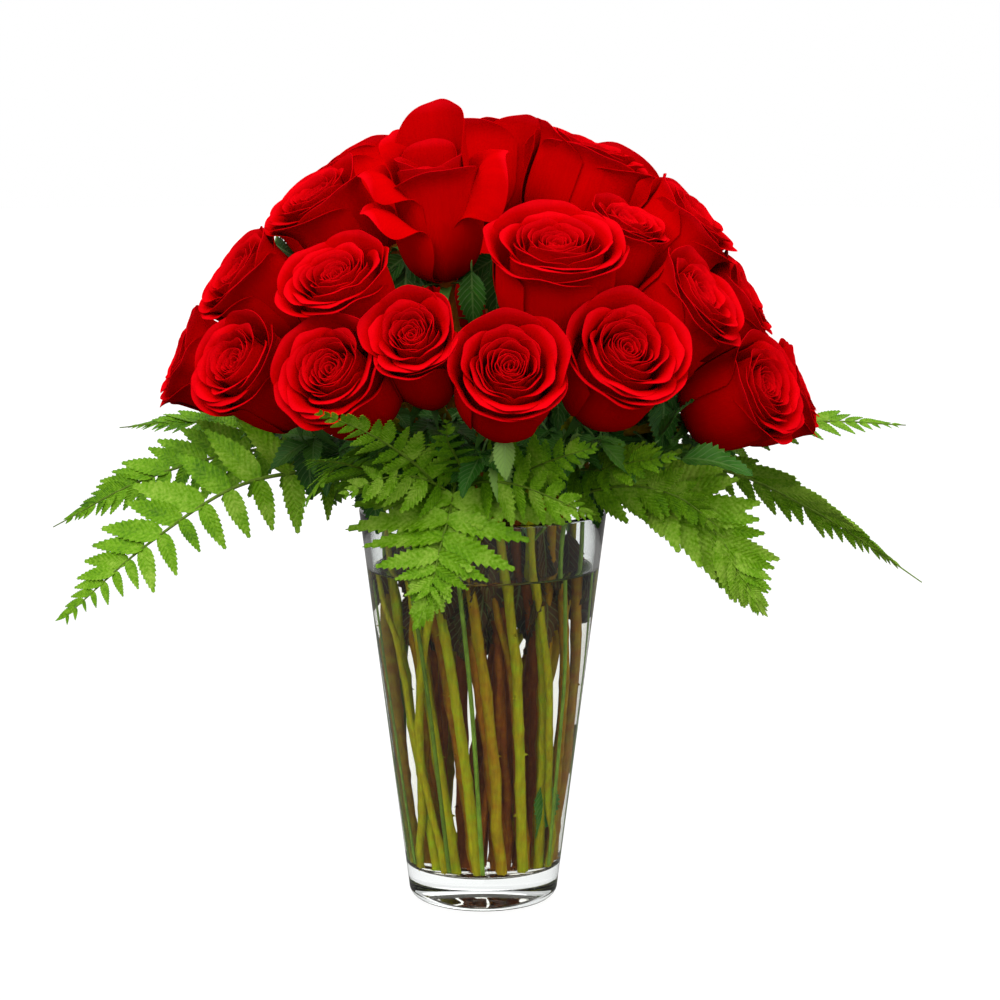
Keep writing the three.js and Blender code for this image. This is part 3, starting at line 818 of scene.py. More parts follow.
# %% Helpers for node trees
def new_tree(title, inputs):
    """A geometry tree with inputs {name: kind}, what adds its nodes, and its inputs."""
    tree = bpy.data.node_groups.new(title, "GeometryNodeTree")
    tree.interface.new_socket("Geometry", in_out="INPUT", socket_type="NodeSocketGeometry")
    for name, kind in inputs.items():
        tree.interface.new_socket(name, in_out="INPUT", socket_type="NodeSocket" + kind)
    tree.interface.new_socket("Geometry", in_out="OUTPUT", socket_type="NodeSocketGeometry")
    return tree, partial(add_node, tree), add_node(tree, "NodeGroupInput").outputs


def tube_along(add, path, sides):
    """The path as a curve, and a round tube along it, as thick as `radius_mm` says."""
    curve = add("GeometryNodeMeshToCurve", {0: path})
    radius = add("GeometryNodeInputNamedAttribute", {"Name": "radius_mm"}, data_type="FLOAT")
    metres = add(
        "ShaderNodeMath", {0: radius.outputs["Attribute"], 1: MM}, operation="MULTIPLY")
    circle = add("GeometryNodeCurvePrimitiveCircle", {"Resolution": sides, "Radius": 1.0})
    tube = add("GeometryNodeCurveToMesh", {
        "Curve": curve, "Profile Curve": circle, "Fill Caps": True, "Scale": metres})
    return curve, tube


def run_tree(name, mesh, tree, values):
    """The mesh that a tree makes from another mesh, with this input for each name."""
    carrier = show(name, mesh)
    modifier = carrier.modifiers.new(tree.name, "NODES")
    modifier.node_group = tree
    for item in tree.interface.items_tree:
        if item.in_out == "INPUT" and item.name in values:
            modifier[item.identifier] = values[item.name]
    bpy.context.view_layer.update()
    graph = bpy.context.evaluated_depsgraph_get()
    made = bpy.data.meshes.new_from_object(carrier.evaluated_get(graph), depsgraph=graph)
    made.name = name
    bpy.data.objects.remove(carrier)
    return made


def template(name, mesh):
    """A shape for a tree to repeat. It is removed when the scene is finished."""
    shape = show(name, mesh)
    shape.hide_render = True
    return shape


def line_mesh(name, points, marks):
    """A row of corners joined by edges, in mm, for a tree to turn into a curve."""
    mesh = bpy.data.meshes.new(name)
    edges = [(i, i + 1) for i in range(len(points) - 1)]
    mesh.from_pydata((np.asarray(points) * MM).tolist(), edges, [])
    keep_marks(mesh, marks)
    return mesh


# %% [markdown]
# ## Stems
#
# The stems stand on the glass floor, lean on each other in a slow spiral, and fan out
# above the mouth to their blooms. The solid model carries each along a smooth curve
# through five points, so the same curve is worked out here. A real stem isn't a pipe:
# it swells a little and changes direction at each node, where a leaf once grew.

# %% Stem paths
MOUTH, CUT = 235, GLASS_FLOOR + 0.8  # heights where stems leave the vase and are cut
STEM_RADIUS, HIP_LENGTH, HIP_SWELLING = 2.9, 9, 2.9
GLASS_CLEARANCE, GAP = 1.2, 0.35
TWIST = {"fern": 14, LOW: 34, MIDDLE: 62, TOP: 88}  # degrees from mouth to foot
RING = {"fern": 0.98, LOW: 0.77, MIDDLE: 0.5, TOP: 0.21}  # share of the free radius
BEND_PULL = 0.42


def smooth_curve(points, t):
    """Centripetal Catmull-Rom curve through the points, at shares t of its spans."""
    points = np.asarray(points, float)
    ends = np.concatenate([[2 * points[0] - points[1]], points, [2 * points[-1] - points[-2]]])
    spans = len(points) - 1
    out = []
    for share in np.atleast_1d(t):
        k = min(int(share * spans), spans - 1)
        w = share * spans - k
        p0, p1, p2, p3 = knots = ends[k : k + 4]
        d0, d1, d2 = (max(np.linalg.norm(step) ** 0.5, 1e-4) for step in np.diff(knots, axis=0))
        m1 = ((p1 - p0) / d0 - (p2 - p0) / (d0 + d1) + (p2 - p1) / d1) * d1
        m2 = ((p2 - p1) / d1 - (p3 - p1) / (d1 + d2) + (p3 - p2) / d2) * d1
        a, b = -3 * p1 + 3 * p2 - 2 * m1 - m2, 2 * p1 - 2 * p2 + m1 + m2
        out.append(p1 + m1 * w + a * w * w + b * w**3)
    return np.array(out)


def in_vase(ring, heading, radius, low=CUT):
    """Three places in the bundle: it turns as it goes down, so that none cross."""
    places = []
    for z in (low, (low + MOUTH) / 2, MOUTH):
        free = inner_radius(z) - radius - GLASS_CLEARANCE
        a = math.radians(heading + TWIST[ring] * (MOUTH - z) / (MOUTH - CUT))
        r = RING[ring] * free
        places.append(np.array([r * math.cos(a), r * math.sin(a), z]))
    return places


def stem_points(rose):
    ring, _, lean, _, slot, _, _ = rose
    axis, base = facing(*lean), bloom_base(rose)
    end = base - axis * (GAP + HIP_LENGTH / 2)
    points = in_vase(ring, slot, STEM_RADIUS)
    pull = BEND_PULL * np.linalg.norm(end - points[-1])
    under, above = end - axis * pull, points[-1] + np.array([0, 0, pull])
    return [*points, under + (above - under) * 0.35, end]


def with_nodes(path, draw, spacing=38, kink=0.45):
    """Swellings and small kinks along a stem: the new path and its radii, in mm."""
    step = np.linalg.norm(np.diff(path, axis=0), axis=1)
    length = np.concatenate([[0], np.cumsum(step)])
    radius = STEM_RADIUS * (1.0 - 0.12 * length / length[-1])
    radius = radius + 0.12 * np.sin(length / 7 + draw.uniform(0, 6))
    path, at = path.copy(), spacing * draw.uniform(0.3, 0.9)
    while at < length[-1] - 30:
        radius = radius + 0.55 * np.exp(-(((length - at) / 2.2) ** 2))
        push = draw.normal(0, kink, 3) * (1, 1, 0)
        path += push * np.exp(-(((length - at) / 12) ** 2))[:, None]
        at += spacing * draw.uniform(0.75, 1.3)
    return path, radius


print("stem curve:", smooth_curve(stem_points(ROSES[3]), [0, 0.5, 1]).round(1).tolist())

# %% [markdown]
# ### Stem, thorn and sepal shapes
#
# The tree turns the path into a curve, gives it the radius kept at each point, sweeps a
# circle along it, and sets a thorn wherever the resampled curve has a point, turned a
# random way round. A second tree sets five sepals round the hip. A thorn is a bent
# cone; a sepal is a narrow leaf that arches out and curls back under the bloom.


# %% Template shapes
THORN_LENGTH, THORN_FOOT, THORN_SUNK = 3.6, 1.5, 0.8
THORN_AT = 2.6  # from the middle of the stem, so just inside its bark
SEPAL_LENGTH, SEPAL_THICK, HIP_RADIUS = 21, 0.45, 3.2
SEPAL_HALF_WIDTHS = np.array((2.6, 3.1, 2.7, 2.0, 1.3, 0.7, 0.15))
SEPAL_HEIGHTS = np.array((0.8, 2.6, 3.4, 2.9, 1.2, -1.6, -4.6))


def thorn_shape():
    """A bent cone that points along +X and hooks down."""
    corners, faces = [], []
    for k, share in enumerate((0, 0.35, 0.7)):
        r, x = THORN_FOOT * (1 - share) ** 1.3, share * THORN_LENGTH - THORN_SUNK
        for j in range(6):
            a = 2 * math.pi * j / 6
            corners.append((x, 0.6 * r * math.cos(a), 1.3 * r * math.sin(a) - 1.1 * share**2))
            if k:
                low, high, after = (k - 1) * 6 + j, k * 6 + j, (j + 1) % 6
                faces.append((low, (k - 1) * 6 + after, k * 6 + after, high))
    corners.append((THORN_LENGTH - THORN_SUNK, 0, -1.4))
    faces += [(12 + j, 12 + (j + 1) % 6, 18) for j in range(6)] + [tuple(range(5, -1, -1))]
    return corners, faces


def sepal_shape():
    """A narrow closed blade along +X, folded up a little at both edges."""
    x = HIP_RADIUS + np.linspace(0, 1, len(SEPAL_HEIGHTS)) * SEPAL_LENGTH
    sheet = np.array([
        np.stack([x, side * SEPAL_HALF_WIDTHS,
                  SEPAL_HEIGHTS + 0.3 * abs(side) * SEPAL_HALF_WIDTHS], 1)
        for side in (-1, 0, 1)])
    up = np.array([0, 0, SEPAL_THICK / 2])
    return closed_sheet(sheet + up, sheet - up)


thorn = template("thorn", make_mesh("thorn", *thorn_shape()))
sepal = template("sepal", make_mesh("sepal", *sepal_shape()))
print("thorn", len(thorn.data.polygons), "faces, sepal", len(sepal.data.polygons))

# %% Tree for a stem with its thorns
stem_tree, add, given = new_tree("stem with thorns", {
    "Sides": "Int", "Thorn": "Object", "Thorn Spacing": "Float", "Seed": "Int",
    "Bark": "Material"})
curve, tube = tube_along(add, given["Geometry"], given["Sides"])
bark = add("GeometryNodeSetShadeSmooth", {"Geometry": tube})
spaced = add(
    "GeometryNodeCurveToPoints", {"Curve": curve, "Length": given["Thorn Spacing"]},
    mode="LENGTH").outputs
away = add(
    "FunctionNodeRandomValue",
    {"Min": (-1, -1, -0.2), "Max": (1, 1, 0.2), "Seed": given["Seed"]},
    data_type="FLOAT_VECTOR")
turned = add(
    "FunctionNodeAxesToRotation",
    {"Primary Axis": spaced["Tangent"], "Secondary Axis": away.outputs["Value"]},
    primary_axis="Z", secondary_axis="X")
grown = add(
    "FunctionNodeRandomValue", {2: 0.45, 3: 1.0, "Seed": given["Seed"]}, data_type="FLOAT")
outwards = add(
    "FunctionNodeRotateVector", {"Vector": (THORN_AT * MM, 0, 0), "Rotation": turned})
moved = add("GeometryNodeSetPosition", {"Geometry": spaced["Points"], "Offset": outwards})
shape = add("GeometryNodeObjectInfo", {"Object": given["Thorn"]}).outputs["Geometry"]
thorns = add("GeometryNodeInstanceOnPoints", {
    "Points": moved, "Instance": shape, "Rotation": turned, "Scale": grown.outputs[1]})
joined = wire(add("GeometryNodeJoinGeometry", {0: bark}), {0: thorns})
whole = add("GeometryNodeRealizeInstances", {0: joined})
dressed = add("GeometryNodeSetMaterial", {"Geometry": whole, "Material": given["Bark"]})
add("NodeGroupOutput", {0: dressed})
print(stem_tree.name, len(stem_tree.nodes), "nodes")

# %% Tree for the sepals
sepal_tree, add, given = new_tree("sepals round a hip", {
    "Sepal": "Object", "Count": "Int", "Axis": "Vector", "Base": "Vector", "Seed": "Int",
    "Skin": "Material"})
points = add("GeometryNodePoints", {"Count": given["Count"]})
number = add("GeometryNodeInputIndex")
jitter, dip, size = [
    add("FunctionNodeRandomValue", {2: low, 3: high, "Seed": given["Seed"]},
        data_type="FLOAT").outputs[1]
    for low, high in ((-0.25, 0.25), (-0.25, 0.85), (0.8, 1.15))]
fifth = add(
    "ShaderNodeMath", {0: number, 1: 2 * math.pi / 5, 2: jitter}, operation="MULTIPLY_ADD")
spin = add("ShaderNodeCombineXYZ", {"Y": dip, "Z": fifth})
turned = add("FunctionNodeEulerToRotation", {0: spin})
shape = add("GeometryNodeObjectInfo", {"Object": given["Sepal"]}).outputs["Geometry"]
ring = add("GeometryNodeInstanceOnPoints", {
    "Points": points, "Instance": shape, "Rotation": turned, "Scale": size})
whole = add("GeometryNodeRealizeInstances", {0: ring})
leaning = add(
    "FunctionNodeAxesToRotation",
    {"Primary Axis": given["Axis"], "Secondary Axis": (0.3, 0.2, 0.9)},
    primary_axis="Z", secondary_axis="X")
carried = add("GeometryNodeTransform", {
    "Geometry": whole, "Translation": given["Base"], "Rotation": leaning})
dressed = add("GeometryNodeSetMaterial", {"Geometry": carried, "Material": given["Skin"]})
add("NodeGroupOutput", {0: dressed})
print(sepal_tree.name, len(sepal_tree.nodes), "nodes")

# %% [markdown]
# ### Bark and calyx
#
# A rose stem is olive where it is young and green-brown where it is old. The skin is
# smooth and slightly waxy, with fine lengthwise streaks a millimetre or two apart and
# brown flecks. Each stem keeps a `tone` that picks its place between brown, olive and
# green. The sepals have the same skin in a leafier green, and so do the ribs of the
# ferns further down.

# %% Stem and sepal materials
STEM_STOPS = ((0.0, "#824414"), (0.25, "#945E0E"), (0.5, "#967E0C"), (0.75, "#94980E"),
              (1.0, "#7AAC18"))
CALYX_STOPS = ((0.0, "#3E6A22"), (0.5, "#5E8C34"), (1.0, "#8DB356"))
STREAK_MM, FLECK_MM = 1.6, 6


def green_skin(name, stops, roughness, shine, streak=STREAK_MM):
    """Waxy plant skin: a colour picked by `tone`, streaked along Z and flecked."""
    material, add, skin = new_material(name)
    tone, = read_marks(add, ["tone"])
    here = add("ShaderNodeTexCoord").outputs["Object"]
    flecks = add("ShaderNodeTexNoise", {
        "Vector": here, "Scale": 1 / (FLECK_MM * MM), "Detail": 4.0})
    long_way = add("ShaderNodeMapping", {"Vector": here, "Scale": (1, 1, 0.12)})
    streaks = add("ShaderNodeTexNoise", {
        "Vector": long_way, "Scale": 1 / (streak * MM), "Detail": 2.0})
    mixed = add("ShaderNodeMath", {0: flecks, 1: 0.7, 2: tone}, operation="MULTIPLY_ADD")
    pick = add("ShaderNodeMapRange", {"Value": mixed, "From Min": 0.3, "From Max": 1.4})
    colour = add("ShaderNodeValToRGB", {0: pick})
    set_stops(colour, stops)
    light = add("ShaderNodeMapRange", {
        "Value": streaks, "From Min": 0.3, "From Max": 0.7, "To Min": 0.78, "To Max": 1.15})
    shaded = add("ShaderNodeHueSaturation", {"Color": colour, "Value": light})
    bump = add("ShaderNodeBump", {
        "Height": streaks, "Strength": 0.8, "Distance": 0.12 * MM})
    wire(skin, {"Base Color": shaded, "Roughness": roughness, "IOR": 1.45,
                "Specular IOR Level": shine, "Normal": bump})
    return material


rose_bark = green_skin("rose_stem_bark", STEM_STOPS, 0.6, 0.06)
calyx_skin = green_skin("rose_calyx", CALYX_STOPS, 0.55, 0.3, streak=1.0)
print(rose_bark.name, calyx_skin.name)

# %% [markdown]
# ## Rose leaves
#
# A rose leaf is a group of three or five leaflets on one stalk. Each leaflet is an oval
# with a saw edge, folded a little along its midrib, and arched down to the tip. A plane
# with an outline would look like paper, so a leaflet is a grid whose width follows the
# oval with teeth on it, lifted by the fold and lowered by the arch. The front shows
# leaves only between the blooms and the ferns, where shade falls, so most are given a
# low, dark tone: painted shade.


# %% One leaflet
TEETH, LEAFLET_COLUMNS, LEAFLET_THICK = 11, 9, 0.32


def leaflet_shape(length, width, fold, arch, seed):
    """A closed saw-edged blade along +X with its upper side towards +Z, and its marks."""
    draw = np.random.default_rng(seed)
    rows = 2 * TEETH + 3
    odd = (np.arange(rows) % 2)[:, None]
    along = np.linspace(0, 1, rows)[:, None]
    across = np.linspace(-1, 1, LEAFLET_COLUMNS)[None, :]
    aside = np.abs(across)
    oval = np.sin(math.pi * along**0.82) ** 0.85 * (1 - 0.25 * along)
    saw = 1 + 0.10 * (odd * 2 - 1) * fade(0.04, 0.15, along)
    half = 0.5 * width * (oval * (1 + (saw - 1) * aside**6) + 0.01)
    y = across * half
    phase = draw.uniform(0, 6, 2)
    x = length * (along + 0.03 * aside**4 * odd)
    ribs = 0.012 * width * aside * np.sin(2 * math.pi * (TEETH * 0.7 * along - 1.4 * aside))
    z = fold * np.abs(y) - arch * length * along**2 + ribs
    z = z + 0.03 * length * aside**2 * np.sin(9 * along + phase[0] + across)
    sheet = np.stack([x + 0 * across, y, z], -1).transpose(1, 0, 2)
    up = np.array([0, 0, LEAFLET_THICK / 2])
    corners, quads = closed_sheet(sheet - up, sheet + up)
    marks = [np.tile((grid + 0 * along * across).T.ravel(), 2) for grid in (along, across)]
    return corners, quads[:, ::-1], np.array(marks)


def swept(path, radii, sides=6):
    """A closed round tube along a path, in mm."""
    tangent = np.gradient(path, axis=0)
    tangent /= np.linalg.norm(tangent, axis=1, keepdims=True)
    across = axes(tangent[0])[:, 0]
    ring = np.arange(sides)
    a, after, rings = ring * 2 * math.pi / sides, (ring + 1) % sides, []
    for at, run, radius in zip(path, tangent, radii):
        across = across - run * np.dot(across, run)
        across = across / np.linalg.norm(across)
        other = np.cross(run, across)
        rings.append(at + radius * (np.cos(a)[:, None] * across + np.sin(a)[:, None] * other))
    corners = np.concatenate([*rings, path[:1], path[-1:]])
    n, last = len(path) * sides, (len(path) - 1) * sides
    faces = []
    for low in range(0, last, sides):
        high = low + sides
        faces += np.stack([low + ring, low + after, high + after, high + ring], 1).tolist()
    faces += [[n, int(j), int(i)] for i, j in zip(ring, after)]
    faces += [[n + 1, int(last + i), int(last + j)] for i, j in zip(ring, after)]
    return corners, faces


print("leaflet:", len(leaflet_shape(40, 22, 0.35, 0.25, 0)[1]), "quads")


# %% A whole leaf
STALK_TONE, STALK_ARCH = 0.35, 0.14


def leaf_frame(heading, drop, tip):
    """Columns x along the leaf, y across, z up, for a compass direction and a slope down."""
    h, d = math.radians(heading), math.radians(drop)
    x = np.array([math.cos(d) * math.cos(h), math.cos(d) * math.sin(h), -math.sin(d)])
    y = np.array([-math.sin(h), math.cos(h), 0.0])
    y = y * math.cos(tip) + np.cross(x, y) * math.sin(tip)
    return np.stack([x, y, np.cross(x, y)], 1)


def leaf_shape(at, heading, drop, length, leaflets, tone, seed):
    """A leaf that grows from `at`: `length` is the end leaflet's, in mm."""
    draw = np.random.default_rng(seed)
    basis = leaf_frame(heading, drop, draw.uniform(-0.5, 0.5))
    reach = 0.45 * length * (1 + 0.55 * (leaflets // 2))
    s = np.linspace(0, 1, 8)[:, None]
    rib = np.concatenate([s * reach, 0 * s, STALK_ARCH * reach * np.sin(math.pi * s)], 1)
    corners, faces = swept(rib @ basis.T + at, np.linspace(1.0, 0.55, 8))
    parts, count = [corners], len(corners)
    marks = [np.stack([np.zeros(count), np.zeros(count), np.full(count, STALK_TONE)])]
    spots = [(reach, 0.0, 1.0)]
    for pair in range(leaflets // 2):
        x = (0.92 - 0.48 * pair) * reach
        spots += [(x, side * draw.uniform(50, 66), 0.78 - 0.12 * pair) for side in (-1, 1)]
    for x, swing, scale in spots:
        size = scale * length * draw.uniform(0.92, 1.08)
        blade, quads, spread = leaflet_shape(
            size, size * draw.uniform(0.52, 0.62), draw.uniform(0.2, 0.5),
            draw.uniform(0.1, 0.4), int(draw.integers(1e6)))
        c, q = math.cos(math.radians(swing)), math.sin(math.radians(swing))
        spin = np.array([[c, -q, 0], [q, c, 0], [0, 0, 1]])
        z = STALK_ARCH * reach * math.sin(math.pi * x / reach)
        parts.append((blade @ spin.T + (x, 0, z)) @ basis.T + at)
        faces += (quads + count).tolist()
        count += len(blade)
        shade = np.full((1, len(blade)), tone + draw.uniform(-0.12, 0.12))
        marks.append(np.concatenate([spread, shade]))
    return np.concatenate(parts), faces, np.concatenate(marks, 1)


# %% [markdown]
# ### Leaf blades
#
# The upper side of a rose leaf is dark, leathery and half glossy. Its side veins run
# out from the midrib at about 45 degrees, some 4 mm apart, and lie in small grooves.
# The marks along and across a leaflet draw that pattern, so it follows the blade. The
# lowest tones are a dark brown, painted shade for the leaves that hang in the neck of the vase.

# %% Leaf material
# The brown lowest stop and the darkest green are painted shade, for the leaves in the neck and
# those between the blooms.
LEAF_GREENS_AND_PAINTED_SHADE = ((0.0, "#4A3008"), (0.2, "#1C4410"), (0.55, "#30681A"), (0.85, "#568C2C"),
              (1.0, "#8CB457"))
VEIN_STOPS = ((0.0, "#FFFFFF"), (0.16, "#000000"), (0.9, "#000000"), (1.0, "#FFFFFF"))
VEINS_ALONG, VEIN_SLANT = 9.0, -2.2  # on a leaflet of about 35 mm, so 4 mm apart
PATCH_MM = 8

leaf_skin, add, skin = new_material("rose_leaf_blade")
along, across, tone = read_marks(add)
here = add("ShaderNodeTexCoord").outputs["Object"]
aside = add("ShaderNodeMath", {0: across}, operation="ABSOLUTE")
scaled = add("ShaderNodeMath", {0: along, 1: VEINS_ALONG}, operation="MULTIPLY")
slant = add(
    "ShaderNodeMath", {0: aside, 1: VEIN_SLANT, 2: scaled}, operation="MULTIPLY_ADD")
saw = add("ShaderNodeMath", {0: slant}, operation="FRACT")
vein = add("ShaderNodeValToRGB", {0: saw})
set_stops(vein, VEIN_STOPS)
midrib = add("ShaderNodeMapRange", {
    "Value": aside, "From Min": 0.03, "From Max": 0.1, "To Min": 1.0, "To Max": 0.0})
lines = add("ShaderNodeMath", {0: vein, 1: midrib}, operation="MAXIMUM")
patches = add("ShaderNodeTexNoise", {
    "Vector": here, "Scale": 1 / (PATCH_MM * MM), "Detail": 4.0})
shade = add("ShaderNodeMath", {0: patches, 1: 0.5, 2: tone}, operation="MULTIPLY_ADD")
green = add("ShaderNodeValToRGB", {0: shade})
set_stops(green, LEAF_GREENS_AND_PAINTED_SHADE)
pale = add("ShaderNodeMath", {0: lines, 1: 0.35}, operation="MULTIPLY")
veined = add("ShaderNodeMix", {0: pale, 6: green, 7: linear("#86A862")}, data_type="RGBA")
groove = add(
    "ShaderNodeBump", {"Height": lines, "Strength": 0.8, "Distance": 0.3 * MM}, invert=True)
wire(skin, {"Base Color": veined.outputs[2], "Roughness": 0.46, "IOR": 1.45,
            "Specular IOR Level": 0.25, "Normal": groove})
print(leaf_skin.name, len(leaf_skin.node_tree.nodes), "nodes")

# %% [markdown]
# ### Stems, sepals and leaves together
#
# One rose stem is one piece: its bark, its thorns, its five sepals and its leaves. The
# first eleven roses carry the leaf that the solid model gives them. More leaves fill the
# gaps between the stems above the mouth, as a florist leaves them on there to hold the
# blooms apart; their darker tone is painted shade for those gaps.

# %% Leaf table
LEAVES = {  # rose: (share up the stem, heading, slope down, end leaflet, leaflets, tone)
    1: [(0.86, -165, 20, 30, 3, 0.35), (0.8, -120, 26, 28, 3, 0.2)],
    2: [(0.86, -140, 25, 30, 3, 0.3), (0.93, -80, 44, 24, 3, 0.35)],
    3: [(0.86, -92, 8, 30, 3, 0.25), (0.9, -120, 30, 24, 1, 0.3)],
    4: [(0.9, -84, 62, 27, 1, 0.95), (0.86, -120, 34, 28, 3, 0.3),
        (0.84, -50, 20, 26, 3, 0.25)],
    5: [(0.9, -80, 52, 20, 1, 0.9), (0.86, -48, 20, 34, 3, 0.4), (0.82, -90, 22, 30, 3, 0.3)],
    6: [(0.86, -34, 5, 30, 3, 0.4), (0.84, -62, 24, 34, 3, 0.45), (0.8, -20, 20, 28, 3, 0.3)],
    7: [(0.86, 14, 15, 30, 3, 0.35), (0.8, -20, 28, 28, 3, 0.3)],
    8: [(0.86, -164, 10, 30, 3, 0.35), (0.82, 170, 24, 28, 3, 0.3)],
    9: [(0.86, 116, 14, 34, 3, 0.4), (0.8, 160, 28, 32, 3, 0.3), (0.93, 140, 50, 26, 3, 0.6)],
    10: [(0.86, 94, 20, 36, 5, 0.45), (0.8, 60, 28, 32, 3, 0.3), (0.93, 100, 55, 26, 3, 0.7)],
    11: [(0.86, 66, 14, 34, 3, 0.4), (0.8, 20, 28, 32, 3, 0.3), (0.93, 40, 50, 26, 3, 0.6)],
}
# A low tone: the filling leaves are painted dark, as shade between the stems.
FILLING_PAINTED_SHADE_TONE = 0.22
draw = np.random.default_rng(7)
for i, rose in enumerate(ROSES):
    rows = LEAVES.setdefault(i + 1, [])
    while len(rows) < (4 if rose[0] == LOW else 3):
        share = draw.uniform(0.68, 0.8) if rose[0] == LOW else draw.uniform(0.66, 0.92)
        heading = rose[2][0] + draw.uniform(-70, 70)
        rows.append((share, heading, draw.uniform(10, 40), draw.uniform(24, 32), 3,
                     FILLING_PAINTED_SHADE_TONE + draw.uniform(-0.06, 0.1)))
print(sum(len(rows) for rows in LEAVES.values()), "leaves")


# %% Make every stem
STEM_TONES = {LOW: (0.35, 0.8), MIDDLE: (-0.1, 0.4), TOP: (-0.2, 0.1)}
THORN_SPACING, SEPALS_SUNK, INTO_BLOOM = 34, 2.5, 1.5


def leaf_blades(rows, seed):
    """Leaves as (mesh, material) pairs: each row says where and how one grows."""
    blades = []
    for k, row in enumerate(rows):
        corners, faces, marks = leaf_shape(*row, seed + k)
        mesh = make_mesh("leaf", corners, faces, marks=dict(zip(MARKS, marks)))
        blades.append((mesh, leaf_skin))
    return blades


def joined_mesh(name, pairs):
    """One mesh from (mesh, material) pairs, whose material is given to all its faces."""
    parts = []
    for mesh, material in pairs:
        mesh.materials.clear()
        mesh.materials.append(material)
        mesh.polygons.foreach_set("material_index", [0] * len(mesh.polygons))
        parts.append(show(name, mesh))
    with bpy.context.temp_override(active_object=parts[0], selected_editable_objects=parts):
        bpy.ops.object.join()
    mesh = parts[0].data
    bpy.data.objects.remove(parts[0])
    mesh.name = name
    return mesh


faces_made = 0
for i, rose in enumerate(ROSES):
    name = f"rose_{i + 1:02d}"
    draw = np.random.default_rng(300 + i)
    axis, base = facing(*rose[2]), bloom_base(rose)
    points = stem_points(rose)
    path, radius = with_nodes(smooth_curve(points, np.linspace(0, 1, 90)), draw)
    neck = np.linspace(0, 1, 12)[1:, None]
    path = np.concatenate([path, path[-1] + neck * (base + axis * INTO_BLOOM - path[-1])])
    radius = np.concatenate([radius, np.full(len(neck), radius[-1])])
    near = 1 - np.linalg.norm(path - base, axis=1) / HIP_LENGTH
    radius = radius + HIP_SWELLING * fade(0, 1, near)
    line = line_mesh("line", path, {
        "radius_mm": radius, "tone": draw.uniform(*STEM_TONES[rose[0]])})
    stem = run_tree(f"{name}_bare", line, stem_tree, {
        "Sides": 10, "Thorn": thorn, "Thorn Spacing": THORN_SPACING * MM, "Seed": i,
        "Bark": rose_bark})
    sepals = run_tree(f"{name}_sepals", line_mesh("dot", [base], {}), sepal_tree, {
        "Sepal": sepal, "Count": 5, "Axis": axis, "Base": (base - axis * SEPALS_SUNK) * MM,
        "Seed": i, "Skin": calyx_skin})
    rows = [(smooth_curve(points, share)[0], *leaf) for share, *leaf in LEAVES[i + 1]]
    mesh = joined_mesh(f"{name}_stalk", [
        (stem, rose_bark), (sepals, calyx_skin), *leaf_blades(rows, 900 + 10 * i)])
    place(mesh.name, mesh, "rose_stem_and_leaf", f"{name}_stem")
    faces_made += len(mesh.polygons)
print("stems and leaves:", faces_made, "faces")

# %% [markdown]
# ### Filling greens
#
# A florist sets short leafy branches between the roses. They hide the bare stems above
# the mouth, and in the water they cross the rose stems, so that little daylight comes
# through the bundle. A few of them twist the other way round. The leaves low on them
# hang in the neck of the vase, coloured dark brown as painted shade, to make the neck
# dark. The solid model leaves them out, because the stems and ferns round them carry
# their weight and their outline.

# %% Make the filling greens
BRANCHES, BRANCH_RADIUS = 18, 2.2
LOW_REACH, HIGH_REACH = ((58, 84), (276, 304)), ((24, 60), (312, 338))  # aside, up
NECK_LEVELS, FEW_NECK_LEVELS = (204, 220, 234, 248), (226,)
INWARDS = (0.85, 0.85, 1)
FEW_THORNS = 1.0  # metres apart, so a branch has only one, at its foot
# Leaves with tone 0.1 are painted dark green, as shade in the gaps they fill.
SINGLE_LEAVES = {  # branch: where, heading, slope down, length, leaflets, tone
    2: [((62, -46, 270), -90, 78, 26, 3, 0.1), ((36, -44, 312), -90, 80, 32, 3, 0.1)],
    3: [((-42, -34, 402), -100, 84, 40, 3, 0.1), ((-112, 0, 394), -120, 74, 34, 5, 0.15)],
    6: [((8, -36, 398), -90, 84, 34, 3, 0.1), ((-6, -60, 384), -80, 84, 30, 1, 0.2)],
    11: [((-96, -40, 294), -100, 80, 30, 3, 0.1), ((-60, -50, 268), -90, 80, 26, 3, 0.15)],
    14: [((12, -142, 303), -88, 80, 26, 1, 0.75), ((12, -108, 294), -90, 80, 28, 3, 0.1)],
    17: [((27, -13, 86), -50, 74, 30, 1, 0.34), ((88, -24, 312), -90, 80, 34, 3, 0.1)],
    18: [((92, -92, 270), -24, -6, 38, 1, 0.3), ((90, -92, 270), 24, -58, 28, 1, 0.36),
         ((100, -60, 326), -90, 84, 32, 3, 0.1), ((70, -30, 306), -90, 80, 34, 5, 0.1)],
}

